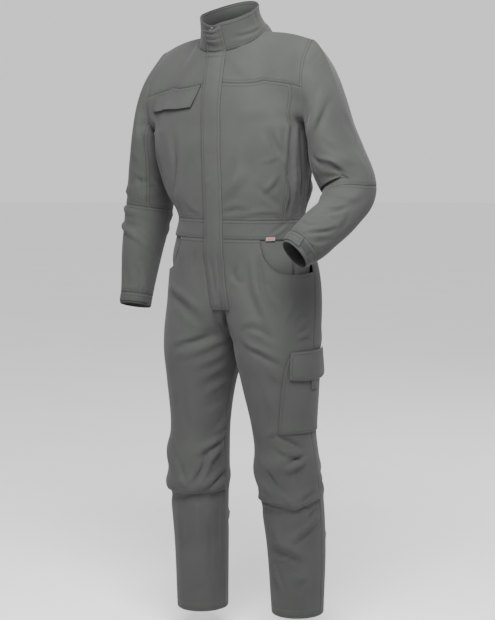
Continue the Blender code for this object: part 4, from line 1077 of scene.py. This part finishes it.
def plan_place(name, spot):
    """Column and row of a worn grid at a spot of the view."""
    across, up = AXES[name[:-2]]
    grid = seen[name]
    away = np.where(faced[name], np.linalg.norm(grid - spot, axis=-1), np.inf)
    i, j = np.unravel_index(away.argmin(), away.shape)
    a, b = np.clip(i, 1, len(across) - 2), np.clip(j, 1, len(up) - 2)
    column = (grid[a + 1, b] - grid[a - 1, b]) / (across[a + 1] - across[a - 1])
    row = (grid[a, b + 1] - grid[a, b - 1]) / (up[b + 1] - up[b - 1])
    step = np.linalg.solve(np.stack((column, row), 1), spot - grid[i, j]).clip(-0.3, 0.3)
    place = np.clip((across[i] + step[0], up[j] + step[1]), (across[0], up[0]), (across[-1], up[-1]))
    return place.round(2)  # a hundredth of a column is half a millimetre


def traced(name, start, bend, end, width, rise):
    """A crease seen in the view, as a row like those of the creases behind."""
    (c0, r0), (cm, rm), (c1, r1) = (plan_place(name, spot) for spot in (start, bend, end))
    length = (c1 - c0) ** 2 + (r1 - r0) ** 2
    bow = ((rm - (r0 + r1) / 2) * (c1 - c0) - (cm - (c0 + c1) / 2) * (r1 - r0)) / length
    return name, c0, r0, c1, r1, round(bow, 2), width, rise


CREASES = (*(traced(*crease) for crease in FRONT_CREASES), *BACK_CREASES)
print("small creases:", len(CREASES))


# %% Creasing the cloth
def grid_place(name, column, row):
    """A point on a worn grid, at a column and a row of the plan."""
    across, up = AXES[name[:-2]]
    grid = worn[name]
    i, j = np.interp(column, across, np.arange(len(across))), np.interp(row, up, np.arange(len(up)))
    return between(grid, i, j)


def between(points, across, up):
    """Points of a grid at fractions of its fine columns and rows."""
    i = np.clip(np.floor(across).astype(int), 0, points.shape[0] - 2)
    j = np.clip(np.floor(up).astype(int), 0, points.shape[1] - 2)
    a, b = (across - i)[..., None], (up - j)[..., None]
    return (points[i, j] * (1 - a) + points[i + 1, j] * a) * (1 - b) + (
        points[i, j + 1] * (1 - a) + points[i + 1, j + 1] * a
    ) * b


moves = {name: np.zeros(grid.shape[:2]) for name, grid in worn.items()}
share = np.linspace(0, 1, 25)
for name, c0, r0, c1, r1, bow, width, rise in CREASES:
    arch = bow * np.sin(np.pi * share)
    columns_along = c0 + (c1 - c0) * share - (r1 - r0) * arch
    rows_along = r0 + (r1 - r0) * share + (c1 - c0) * arch
    line = grid_place(name, columns_along, rows_along)
    ahead, reach = unit(np.gradient(line, axis=0)), abs(width) / 1000
    low, high = line.min(0) - 3.5 * reach, line.max(0) + 3.5 * reach
    for other, points in worn.items():
        near = ((points > low) & (points < high)).all(-1)
        if not near.any():
            continue
        gap = points[near][:, None] - line
        away = np.linalg.norm(gap, axis=-1)
        k = away.argmin(-1)
        pick = np.arange(len(k))
        side_of = np.einsum("ij,ij->i", np.cross(ahead[k], out[other][near]), gap[pick, k]) * np.sign(width)
        ridge = np.exp(-((away[pick, k] / reach) ** 2))
        along = np.maximum(away[pick, k] ** 2 - side_of**2, 0)
        trough = np.exp(-((side_of - 1.5 * reach) ** 2 + along) / reach**2)
        fade = np.sin(np.pi * np.clip(0.06 + 0.88 * share[k], 0, 1)) ** 0.8
        moves[other][near] += 1.35 * rise / 1000 * fade * (ridge - 0.55 * trough)
for name, points in worn.items():
    worn[name] = points + out[name] * moves[name][..., None]
print("farthest move:", round(max(abs(move).max() for move in moves.values()), 4), "m")


# %% Gathers where elastic pulls the cloth in
def gather(name, columns_at, rows_at, count, depth):
    """Small waves across a stretch of a grid, strongest in its middle row."""
    across, up = AXES[name[:-2]]
    share = np.clip((across - columns_at[0]) / (columns_at[1] - columns_at[0]), 0, 1)
    tall = np.clip((up - rows_at[0]) / (rows_at[1] - rows_at[0]), 0, 1)
    wave = np.sin(2 * np.pi * count * (share + 0.05 * np.sin(7 * share))) * np.sin(np.pi * share) ** 0.5
    worn[name] += out[name] * (depth * wave[:, None] * np.sin(np.pi * tall) ** 0.7)[..., None]


for side in SIDES:
    gather("band_back_" + side, (0, 9), (0, 2), 11, 0.0016)
    gather("band_front_" + side, (7.5, 10), (0, 2), 4, 0.0012)
normals = share_normals(worn)
print("gathers made")

# %% [markdown]
# ## Sewing a piece
# A piece starts as a flat grid with one square for each step, as cloth starts flat
# on the cutting table. Extruding it gives the wall. Then every point goes to its
# place on the worn form: upper points to the outer side, lower ones to the inner.
# The outer edge is turned down a little, which draws the seam.


# %% Cloth laid out flat
def lengths(points, axis):
    """Distance along the cloth at every point, for its UV map."""
    step = np.linalg.norm(np.diff(points, axis=axis), axis=-1)
    start = np.zeros_like(np.take(step, [0], axis))
    return np.concatenate((start, np.cumsum(step, axis)), axis)


def seam_distance(points, edges):
    """How far every point of a grid lies from its nearest stitched edge, in metres."""
    across, up = lengths(points, 0), lengths(points, 1)
    found = np.full(across.shape, 1.0)
    for edge, distance in (("w", across), ("e", across[-1:] - across), ("s", up), ("n", up[:, -1:] - up)):
        if edge in edges:
            found = np.minimum(found, distance)
    return found


# %% Sewing
flat_cut = {}


def sew(name, outer, inner, material, seam=None, node_name=None):
    """One piece of cloth as a closed mesh with a cloth UV map, in its place."""
    across, up = outer.shape[0] - 1, outer.shape[1] - 1
    flat = Matrix.Diagonal((across, up, 1, 1)) @ Matrix.Translation((0.5, 0.5, 0))
    bm = bmesh.new()
    bmesh.ops.create_grid(bm, x_segments=across, y_segments=up, size=0.5, matrix=flat)
    under = bmesh.ops.extrude_face_region(bm, geom=bm.faces[:], use_keep_orig=True)
    low = [item for item in under["geom"] if isinstance(item, bmesh.types.BMVert)]
    bmesh.ops.translate(bm, vec=(0, 0, -1), verts=low)
    bmesh.ops.recalc_face_normals(bm, faces=bm.faces[:])
    mesh = bpy.data.meshes.new(name)
    bm.to_mesh(mesh)
    bm.free()
    co = np.empty(len(mesh.vertices) * 3)
    mesh.vertices.foreach_get("co", co)
    i, j, top = np.round(co.reshape(-1, 3)).astype(int).T
    place = np.where((top > -0.5)[:, None], outer[i, j], inner[i, j]) - NECK_CENTRE
    mesh.vertices.foreach_set("co", place.ravel())
    corner = np.empty(len(mesh.loops), int)
    mesh.loops.foreach_get("vertex_index", corner)
    cloth_map = np.stack((lengths(outer, 0)[i, j], lengths(outer, 1)[i, j]), -1)[corner]
    mesh.uv_layers.new(name="cloth").data.foreach_set("uv", cloth_map.ravel())
    found = np.full(i.shape, 1.0) if seam is None else seam[i, j]
    mesh.attributes.new("seam", "FLOAT", "POINT").data.foreach_set("value", found)
    mesh.shade_smooth()
    mesh.materials.append(material)
    piece = bpy.data.objects.new(name, mesh)
    bpy.context.scene.collection.objects.link(piece)
    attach(piece, "root")
    if node_name:
        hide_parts(node_name)
    width, length = lengths(outer, 0)[-1].max(), lengths(outer, 1)[:, -1].max()
    quads = np.cross(outer[1:, 1:] - outer[:-1, :-1], outer[1:, :-1] - outer[:-1, 1:])
    flat_cut[name] = (piece, width, length, np.linalg.norm(quads, axis=-1).sum() / 2)
    return piece


def draw_back(points, gap):
    """The grid with its four edges moved in by half a seam's gap."""
    moved = points.copy()
    moved[0] += unit(points[1] - points[0]) * gap
    moved[-1] += unit(points[-2] - points[-1]) * gap
    moved[:, 0] += unit(points[:, 1] - points[:, 0]) * gap
    moved[:, -1] += unit(points[:, -2] - points[:, -1]) * gap
    return moved


def turned_edge(points, facing, depth=0.0009, reach=0.0013):
    """The outer side rolled down towards every edge of the piece."""
    near = seam_distance(points, "wens")
    return points - facing * (depth * np.exp(-((near / reach) ** 2)))[..., None]


# %% Cutting pieces from the grids
TUCK = 0.0007  # how far the turned-in edge reaches under the next piece


def index(name, axis, place):
    return int(np.argmin(np.abs(AXES[name[:-2]][axis] - place)))


def part(name, columns_at=None, rows_at=None):
    """A piece of one grid, its columns in the order that faces it outwards."""
    cuts = []
    for axis, ends in enumerate((columns_at, rows_at)):
        if ends:
            cuts.append(slice(index(name, axis, ends[0]), index(name, axis, ends[1]) + 1))
        else:
            cuts.append(slice(None))
    order = 1 if faces_out(name) else -1
    return [where[name][cuts[0], cuts[1]][::order] for where in (worn, normals)]


def join(*parts):
    """Parts side by side as one, the shared column kept once."""
    return [np.concatenate([arrays[0]] + [a[1:] for a in arrays[1:]]) for arrays in zip(*parts)]


def cloth(name, cut, edges, node_name, wall=WALL, gap=0.0002):
    """A piece sewn edge to edge: its inner side reaches under its neighbour's."""
    points, facing = cut
    upper = turned_edge(points, facing)
    piece = sew(
        name, draw_back(upper, gap), draw_back(points - facing * wall, -TUCK), TWILL,
        seam_distance(points, edges), node_name,
    )  # fmt: skip
    return piece


# %% [markdown]
# ## The pieces that are sewn edge to edge
# Each front is cut in a centre and a side panel with a long seam between them, and
# ends at the yoke, which runs over the shoulder. The back is one piece. The legs
# have a front and a back each, and the front is hollowed out for the hip pocket.

# %% Fronts, yokes and back
for side in SIDES:
    front = "front_" + side
    cloth("centre_front_" + side, part(front, (0, 7), (0, YOKE_ROW)), "ns" + "ew"[side == "R"], front)
    cloth("side_front_" + side, part(front, (7, 10), (0, YOKE_ROW)), "s", "side_" + side)
    cloth("front_yoke_" + side, part(front, None, (YOKE_ROW, 14)), "s" + "ew"[side == "R"], "yoke_" + side)
cloth("back_panel", join(part("back_L"), part("back_R")), "wes", "back")
print("body pieces:", len(flat_cut))

# %% Waistband and collar
for side in SIDES:
    cloth("waistband_front_panel_" + side, part("band_front_" + side), "ns", "waistband_front_" + side)
cloth("waistband_back_panel", join(part("band_back_L"), part("band_back_R")), "ns", "waistband_back")
cloth("stand_collar", join(part("collar_L"), part("collar_R")), "wens", "collar", wall=0.0024)
print("with waistband and collar:", len(flat_cut))

# %% Sleeves and cuffs
for side in SIDES:
    sleeve = "sleeve_" + side
    cloth("sleeve_outer_" + side, part(sleeve, (2, 12)), "n", "sleeve_top_" + side)
    ends = [part(sleeve, (0, 2)), part(sleeve, (12, 14))]
    ends = ends[::-1] if faces_out(sleeve) else ends
    cloth("sleeve_inner_" + side, join(*ends), "wen", "sleeve_under_" + side)
    cloth("lower_sleeve_" + side, part("forearm_" + side), "sn", "forearm_" + side)
    cloth("cuff_band_" + side, part("cuff_" + side), "ns", "cuff_" + side)
print("with sleeves:", len(flat_cut))

# %% Trouser legs
for side in SIDES:
    cloth("trouser_front_" + side, part("leg_front_" + side), "ns", "leg_front_" + side)
    cloth("trouser_back_" + side, part("leg_back_" + side), "wens", "leg_back_" + side)
print("with legs:", len(flat_cut))

# %% [markdown]
# ## What lies on the panels
# Pockets, flaps, knee patches and the storm flap are cut as plain shapes and sewn on
# top, so each is made from the points of the panel under it, moved out along that
# panel's facing. Their loose edges stand off a little more than their sewn ones.


# %% Laying a piece on a panel
def panel(*names):
    """One grid, or a left front and back joined round the side seam."""
    across, up = AXES[names[0][:-2]]
    points, facing = worn[names[0]], normals[names[0]]
    if len(names) == 2:
        count = min(points.shape[1], worn[names[1]].shape[1])
        across = np.concatenate((across, 19 - AXES[names[1][:-2]][0][-2::-1]))
        points = np.concatenate((points[:, :count], worn[names[1]][-2::-1, :count]))
        facing = np.concatenate((facing[:, :count], normals[names[1]][-2::-1, :count]))
        up = up[:count]
    return {"points": points, "facing": facing, "across": across, "up": up}


def steps_to(axis, places):
    """Fractional fine steps of plan places, also a little past the ends."""
    found = np.interp(places, axis, np.arange(len(axis)))
    before, after = np.minimum(places - axis[0], 0), np.maximum(places - axis[-1], 0)
    return found + before / (axis[1] - axis[0]) + after / (axis[-1] - axis[-2])


def refine(plan, fine_i, fine_j):
    """A small table of plan values, read between its rows and columns."""
    return between(np.asarray(plan, float)[..., None], *np.meshgrid(fine_i, fine_j, indexing="ij"))[..., 0]


laid = {}


def lay_on(
    name, base, across, up, lift, wall=WALL, material=None, node_name=None, edges="wens"
):
    """A piece made from a panel's points, moved out by lift, finely divided."""
    across, up, lift = np.broadcast_arrays(across, up, lift)
    fine_i = fine(across.shape[0] - 1, (0, across.shape[0] - 1))
    fine_j = fine(across.shape[1] - 1, (0, across.shape[1] - 1))
    across, up, lift = (refine(plan, fine_i, fine_j) for plan in (across, up, lift))
    i, j = steps_to(base["across"], across), steps_to(base["up"], up)
    facing = unit(between(base["facing"], i, j))
    low = between(base["points"], i, j) + facing * lift[..., None]
    high = low + facing * wall
    turned = np.cross(high[1, 0] - high[0, 0], high[0, 1] - high[0, 0]) @ facing[0, 0] < 0
    order = -1 if turned else 1
    edges = edges.translate(str.maketrans("we", "ew")) if turned else edges
    high, low, facing = high[::order], low[::order], facing[::order]
    upper = turned_edge(high, facing, depth=min(0.0008, wall * 0.55))
    laid[name] = {"points": upper, "facing": facing, "across": fine_i, "up": fine_j, "turned": turned}
    seam = seam_distance(high, edges) if edges else None
    return sew(name, upper, low, material or TWILL, seam, node_name)


# %% Chest pocket flap
LIFT = 0.0011
down = np.array((0.0, 0.25, 0.5, 1.0))
start = 1.14 + 0.29 * down
across = np.stack((start, (start + 3) / 2, *np.outer((3, 4, 5, 6, 6.92), np.ones(4))))
low = np.interp(across, (0, 2, 3.6, 5.5, 6.92), (8.97, 9.0, 9.22, 9.22, 9.60))
up = (YOKE_ROW - 0.04) * (1 - down) + low * down
ripple = 0.0016 * np.sin(across * 2.3 + 0.6) * down**2
lay_on(
    "chest_pocket_flap", panel("front_R"), across, up, LIFT + 0.0004 + 0.0050 * down**2 + ripple,
    node_name="chest_flap_R", edges="wes",
)  # fmt: skip

# %% Knee pockets
# The rows of the edges, then how far the lower one lies above its row at each column.
KNEE = {"L": (0.296, 0.455), "R": (0.32, 0.455)}
KNEE_EDGE = {
    "L": (0.5, 0.5, 0.5, 0.55, 0.6, 0.45, 0.2, -0.1, 0.3, 0.7, 0.85),
    "R": (0.1, 0.0, 0.0, 0.0, 0.0, 0.0, 0.0, 0.0, 0.0, 0.0, 0.0),
}
for side in SIDES:
    low, high = (LEG_ROWS.index(row) for row in KNEE[side])
    across = np.array((0.08, 1, 2, 3, 4, 5, 6, 7, 8, 9, 9.92))
    up = np.tile(np.arange(low, high + 1.0), (len(across), 1))
    lift = np.interp(up, (low, low + 1, low + 2, high - 1, high), (0.0044, 0.0016, 0.0006, 0.0004, -0.0019))
    up[:, 0] += KNEE_EDGE[side]
    up[:, 1] = np.maximum(low + 1, up[:, 0] + 0.35)
    lay_on(
        "knee_pocket_" + side, panel("leg_front_" + side), across[:, None], up, lift,
        node_name="knee_patch_" + side, edges="s",
    )  # fmt: skip

# %% Hip pocket facings
for side in SIDES:
    heights = np.linspace(0.862, BAND_LOW + 0.008, 5)
    u, height = np.meshgrid(np.linspace(0.37, 0.992, 9), heights, indexing="ij")
    u, height = (refine(plan, fine(8, ()), fine(4, ())) for plan in (u, height))
    points = body_point(side, "front", u, height)
    facing = outward(points) * SIDES[side]
    hollow = 0.0055 * np.exp(-(((height - 0.885) / 0.022) ** 2))
    hollow = hollow + 0.0120 * np.exp(-(((u - 0.765) / 0.014) ** 2))
    low = points - facing * (2 * WALL + 0.0022 + hollow)[..., None]
    order = 1 if side == "L" else -1
    high = low + facing * WALL
    sew("hip_pocket_facing_" + side, high[::order], low[::order], TWILL, None, "hip_facing_" + side)

# %% Cargo pocket on the left thigh
thigh = panel("leg_front_L", "leg_back_L")
low, high = LEG_ROWS.index(0.49) + 0.02, LEG_ROWS.index(0.69) - 0.15
up = np.array((low, 15, 16, 17, 18, high))
share = (up - low) / (high - low)
start, end = 6.35 + 1.2 * share, 13.1 - 0.8 * share
across = np.stack((start, (start + 8) / 2, *np.outer(range(8, 13), np.ones(6)), end))
edge = (across - start) / (end - start)
lift = LIFT + 0.0004 + 0.006 * np.sin(np.pi * edge) * np.sin(np.pi * share)
lay_on("thigh_pocket_bag", thigh, across, up, lift, node_name="cargo_pocket_L")
low, high = LEG_ROWS.index(0.62) + 0.30, LEG_ROWS.index(0.69) + 0.5
up = np.array((low, 18, 19, high))
share = (high - up) / (high - low)
across = np.array((7.62, 8, 9, 10, 11, 12, 12.65))[:, None]
edge = (across - 7.62) / 5.03
lift = LIFT + WALL + 0.0005 + (0.006 + 0.009 * edge**2 + 0.002 * np.sin(7 * edge)) * share
up = up - 0.16 * np.sin(np.pi * edge) * share + 0.20 * edge**6 * share
lay_on("thigh_pocket_flap", thigh, across, up, lift, node_name="cargo_flap_L")
bag = laid["thigh_pocket_bag"]
tab = np.array((3.55, 4.0, 4.3))[:, None]
tab = 7 - tab if bag["turned"] else tab
lay_on(
    "thigh_pocket_pull_tab", bag, tab, np.array((2.6, 3.0, 3.35)), LIFT, material=TRIM,
    node_name="cargo_tab_L",
)  # fmt: skip
print("pockets laid on")

# %% Storm flap and zip
rows = (("leg_front_", FLY_END), ("band_front_", None), ("front_", None), ("collar_", None))
halves = {}
for side in "RL":
    cuts, ups, top = [], [], 0.0
    for kind, start in rows:
        name = kind + side
        across, up = AXES[name[:-2]]
        first = index(name, 1, LEG_ROWS.index(start)) if start else 1
        ups.append(top + up[first:] - (up[first] if start else 0))
        top = ups[-1][-1]
        wide = index(name, 0, 1) + 1
        cuts.append([where[name][:wide, first:] for where in (worn, normals)])
    halves[side] = [np.concatenate(arrays, 1) for arrays in zip(*cuts)]
    strip_up = np.concatenate(ups)
strip = {}
for key, right, left in zip(("points", "facing"), halves["R"], halves["L"]):
    strip[key] = np.concatenate((right[::-1], left[1:]))
beside = FRONT[: index("front_L", 0, 1) + 1]
strip["across"], strip["up"] = np.concatenate((1 - beside[::-1], 1 + beside[1:])), strip_up
share = np.clip((strip_up[1:-1, None] - strip_up[-1] + 7) / 1.5, 0, 1)
for _ in range(12):  # the flap and the tapes bridge the collar's corner
    for key in ("points", "facing"):
        middle = strip[key][:, :-2] + strip[key][:, 2:] - 2 * strip[key][:, 1:-1]
        strip[key][:, 1:-1] += 0.25 * share * middle
strip["facing"] = unit(strip["facing"])
last = strip_up[-1]
up = np.arange(last + 1.0)
taped = np.append(up[:-1], last - 0.42)
for side, ends in (("R", (0.56, 0.985)), ("L", (1.015, 1.44))):
    tape = np.array((ends[0], sum(ends) / 2, ends[1]))[:, None]
    lay_on(
        "zip_tape_half_" + side, strip, tape, taped, 0.0017, 0.0010, ZIP_TAPE, "zip_tape_" + side,
        edges="",
    )  # fmt: skip
across = np.array((0.0, 0.5, 1.0, 1.5, 2.0))[:, None]
up = np.append(up[:-9], np.arange(last - 8, last + 0.01, 0.25))
stand = np.clip((up - (last - 4)) / 2, 0, 1)
lift = np.array((0.0034, 0.0040, 0.0042, 0.0030, -0.0004))[:, None]
lift = lift + 0.0030 * stand * np.array((0.8, 1.0, 1.0, 0.5, 0.0))[:, None]
lift = lift + 0.0006 * np.sin(up * 2.9) * np.array((1.0, 0.6, 0.3, 0.1, 0.0))[:, None]
pucker = np.sin(6.4 * up + 1.5 * np.sin(2.3 * up) + 0.8 * across) * np.clip((up - last + 7) / 3, 0, 1)
lift = lift + 0.0011 * pucker * np.array((0.5, 1.0, 0.9, 0.5, 0.1))[:, None]
low = np.clip(up, 0, last - 0.70 * (1 - across / 2))
across = across - 0.30 * np.clip((up - (last - 2)) / 2, 0, 1) * (1 - across / 2) ** 2
lay_on("storm_flap", strip, across, low, lift, 0.0020, node_name="front_flap")
print("strip rows:", len(strip_up), "storm flap laid")

# %% Label and cuff straps
base = panel("band_front_L")
LABEL_MIDDLE = 5.14  # the column at the label's middle
LABEL_X = LABEL_MIDDLE + np.array((-0.52, 0.0, 0.52))[:, None]
edge_rows = np.linspace(-0.10, 0.28, 3) + 0.05 * (LABEL_X - LABEL_MIDDLE)
lay_on(
    "waist_label_edge", base, LABEL_X, edge_rows, 0.0004, 0.0006, LABEL_GREY, "label_tab",
    edges="",
)  # fmt: skip
field_x = 0.35 * LABEL_MIDDLE + 0.65 * LABEL_X
field_rows = np.linspace(0.0, 0.18, 3) + 0.033 * (LABEL_X - LABEL_MIDDLE)
lay_on(
    "waist_label_field", base, field_x, field_rows, 0.0011, 0.0003, LABEL_RED, edges=""
)
for side in SIDES:
    across = np.array((0.3, 1, 2, 3, 4, 4.72))[:, None]
    slant = 0.16 * (across / 4.72) ** 6 * np.array((-1.0, 0.0, 1.0))
    lay_on(
        "cuff_tab_" + side, panel("cuff_" + side), across + slant, np.array((0.14, 0.9, 1.66)), 0.0012,
        node_name="cuff_strap_" + side,
    )  # fmt: skip
    across = np.array((4.50, 5.1, 5.8, 6.5))[:, None]
    lay_on(
        "cuff_loop_patch_" + side, panel("cuff_" + side), across, np.array((0.50, 0.9, 1.34)), 0.0003,
        0.0008, HOOKS, edges="",
    )  # fmt: skip
print("pieces of cloth:", len(flat_cut))

# %% [markdown]
# ## Thread
# Workwear is held by twin rows of lockstitch, 3 mm to a stitch, in a thread near the
# cloth's own colour. One stitch is a small ball stretched along the seam. It is made
# once and repeated along lines a set distance in from a piece's edge.


# %% Small parts repeated along a line
def bead(kind, measures, **settings):
    """A small part of the given measures, centred, made by a bmesh operator."""
    bm = bmesh.new()
    getattr(bmesh.ops, "create_" + kind)(bm, **settings)
    bmesh.ops.scale(bm, vec=measures, verts=bm.verts)
    mesh = bpy.data.meshes.new("bead")
    bm.to_mesh(mesh)
    bm.free()
    return mesh


def strew(name, shape, lines, pitch, material, lift=0.0, aside=0.0):
    """Copies of a small part along lines of (points, facings), a pitch apart."""
    spots = []
    for points, facing in lines:
        run = lengths(points[:, None], 0)[:, 0]
        count = int((run[-1] - pitch * 0.3) / pitch)
        at = (np.arange(count) + 0.5) * run[-1] / max(count, 1)
        middle = np.stack([np.interp(at, run, points[:, k]) for k in range(3)], -1)
        out_at = unit(np.stack([np.interp(at, run, facing[:, k]) for k in range(3)], -1))
        places = (at - 0.001, at + 0.001)
        ends = [np.stack([np.interp(place, run, points[:, k]) for k in range(3)], -1) for place in places]
        ahead_at = unit(ends[1] - ends[0] + 1e-9)
        spots.append((middle, ahead_at, out_at))
    middle, ahead_at, out_at = (np.concatenate(arrays) for arrays in zip(*spots))
    across_at = unit(np.cross(out_at, ahead_at))
    bm = bmesh.new()
    for _ in middle:
        bm.from_mesh(shape)
    mesh = bpy.data.meshes.new(name)
    bm.to_mesh(mesh)
    bm.free()
    local = np.empty(len(mesh.vertices) * 3)
    mesh.vertices.foreach_get("co", local)
    local = local.reshape(len(middle), -1, 3)
    place = (
        middle[:, None]
        + local[..., :1] * ahead_at[:, None]
        + (local[..., 1:2] + aside) * across_at[:, None]
        + (local[..., 2:] + lift) * out_at[:, None]
        - NECK_CENTRE
    )
    mesh.vertices.foreach_set("co", place.ravel())
    mesh.shade_smooth()
    mesh.materials.append(material)
    made = bpy.data.objects.new(name, mesh)
    bpy.context.scene.collection.objects.link(made)
    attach(made, "root")
    print(name, len(middle), "of", len(shape.polygons), "faces")
    return made


# %% Lines a set distance in from an edge
def edge_line(points, facing, edge, inset, ends=(0.002, 0.002)):
    """The line on a piece that runs inset metres in from one of its edges."""
    if edge in "we":
        points, facing = points.swapaxes(0, 1), facing.swapaxes(0, 1)
    if edge in "en":
        points, facing = points[:, ::-1], facing[:, ::-1]
    run = lengths(points, 1)
    line, out_of = [], []
    for i in range(len(points)):
        line.append([np.interp(inset, run[i], points[i, :, k]) for k in range(3)])
        out_of.append([np.interp(inset, run[i], facing[i, :, k]) for k in range(3)])
    line, out_of = np.array(line), unit(np.array(out_of))
    along = lengths(line[:, None], 0)[:, 0]
    keep = (along > ends[0]) & (along < along[-1] - ends[1])
    return line[keep], out_of[keep]


def cut_lines(cut, edges, insets, ends=(0.002, 0.002)):
    points, facing = cut
    upper = turned_edge(points, facing)
    return [edge_line(upper, facing, edge, inset, ends) for edge in edges for inset in insets]


def laid_lines(name, edges, insets):
    piece = laid[name]
    edges = edges.translate(str.maketrans("we", "ew")) if piece["turned"] else edges
    return [edge_line(piece["points"], piece["facing"], edge, inset) for edge in edges for inset in insets]


STITCH = bead("uvsphere", (0.00125, 0.00030, 0.00022), u_segments=5, v_segments=3, radius=1)
ONE, TWO, HEM = (0.0022,), (0.0020, 0.0085), (0.020,)
body_lines, arm_lines, leg_lines, top_lines = [], [], [], []
for side in SIDES:
    outer = "e" if side == "L" else "w"
    body_lines += cut_lines(part("front_" + side, None, (YOKE_ROW, 14)), "s", TWO)
    body_lines += cut_lines(part("front_" + side, None, (YOKE_ROW, 14)), outer, ONE)
    body_lines += cut_lines(part("front_" + side, (0, 7), (0, YOKE_ROW)), outer, TWO)
    body_lines += cut_lines(part("band_front_" + side), "ns", ONE)
    arm_lines += cut_lines(part("forearm_" + side), "s", TWO)
    arm_lines += cut_lines(part("cuff_" + side), "ns", ONE)
    arm_lines += cut_lines(part("sleeve_" + side, (2, 12)), "we", TWO)
    leg_lines += cut_lines(part("leg_front_" + side), "s", HEM)
    leg_lines += cut_lines(part("leg_back_" + side), "s", HEM)
    leg_lines += cut_lines(part("leg_front_" + side), "n", ONE)
    leg_lines += cut_lines(part("leg_back_" + side), "w" if side == "L" else "e", TWO)
    scoop = part("leg_front_" + side, (SCOOP_COLUMN, 10))
    leg_lines += cut_lines(scoop, "n", (0.0085,))
    top_lines += laid_lines("knee_pocket_" + side, "s", TWO)
    arm_lines += laid_lines("cuff_tab_" + side, "wens", ONE)
back = join(part("back_L"), part("back_R"))
body_lines += cut_lines(back, "we", ONE)
body_lines += cut_lines(join(part("band_back_L"), part("band_back_R")), "ns", (0.0022, 0.0150))
body_lines += cut_lines(join(part("collar_L"), part("collar_R")), "nswe", ONE)
top_lines += laid_lines("chest_pocket_flap", "wes", TWO)
top_lines += laid_lines("thigh_pocket_bag", "wes", TWO) + laid_lines("thigh_pocket_flap", "wens", TWO)
top_lines += laid_lines("storm_flap", "we", ONE) + laid_lines("storm_flap", "e", (0.0085,))
sewn = {"body": body_lines, "arms": arm_lines, "legs": leg_lines, "pockets": top_lines}
for where, lines in sewn.items():
    strew("thread_" + where, STITCH, lines, 0.0032, THREAD, lift=0.00012)
print("kinds of thread:", len(sewn))

# %% Zip teeth
TOOTH = bead("cube", (0.0011, 0.0020, 0.0014), size=1)
for side, aside in (("R", -0.0012), ("L", 0.0012)):
    tape = laid["zip_tape_half_" + side]
    edges = "w" if (side == "L") != tape["turned"] else "e"
    line = edge_line(tape["points"], tape["facing"], edges, 0.0004)
    strew("zip_teeth_" + side, TOOTH, [line], 0.0017, TEETH, lift=0.0006)
print("zip teeth made")


# %% Zip slider, closed at the top of the zip
def block(bm, measures, place, edge):
    """A cast block with rounded edges, added to a bmesh."""
    made = bmesh.ops.create_cube(bm, size=1)["verts"]
    bmesh.ops.scale(bm, vec=measures, verts=made)
    bmesh.ops.translate(bm, vec=place, verts=made)
    edges = list({line for vert in made for line in vert.link_edges})
    bmesh.ops.bevel(bm, geom=edges, offset=edge, segments=2, profile=0.5, affect="EDGES", material=-1)


spot = steps_to(strip["across"], np.array([[1.0, 1.0], [1.2, 1.2]]))
SLIDER_ROWS = (last - 0.62, last - 0.22)
rise = steps_to(strip["up"], np.array([SLIDER_ROWS, SLIDER_ROWS]))
corners = between(strip["points"], spot, rise)
facing = unit(between(strip["facing"], spot, rise)[0, 1])
ahead = unit(corners[0, 1] - corners[0, 0])
bm = bmesh.new()
block(bm, (0.0080, 0.0095, 0.0020), (0, 0, 0.0022), 0.0006)
block(bm, (0.0024, 0.0060, 0.0014), (0, 0, 0.0036), 0.0004)
block(bm, (0.0056, 0.0150, 0.0010), (0, -0.0100, 0.0042), 0.0004)
turn = Matrix((np.cross(ahead, facing), ahead, facing)).transposed().to_4x4()
bmesh.ops.transform(bm, matrix=Matrix.Translation(corners[0, 1] - NECK_CENTRE) @ turn, verts=bm.verts)
mesh = bpy.data.meshes.new("zip_slider_cast")
bm.to_mesh(mesh)
bm.free()
mesh.materials.append(NICKEL)
slider = bpy.data.objects.new("zip_slider_cast", mesh)
bpy.context.scene.collection.objects.link(slider)
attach(slider, "root")
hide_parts("zip_slider")
print("slider faces:", len(mesh.polygons))

# %% [markdown]
# ## What each piece was cut to
# A sheet of cloth keeps its size when it is worn, so the flat rectangle each piece
# was cut from and the area of its cut are measured on its grid, and the areas are
# added up.

field = flat_cut.pop("waist_label_field")[0]  # under 10 mm wide, it is left out of the cut list
for name, (piece, width, length, area) in flat_cut.items():
    width, length = max(round(width, 3), 0.01), max(round(length, 3), 0.01)
print("cloth in all:", round(sum(entry[3] for entry in flat_cut.values()), 2), "square metres")
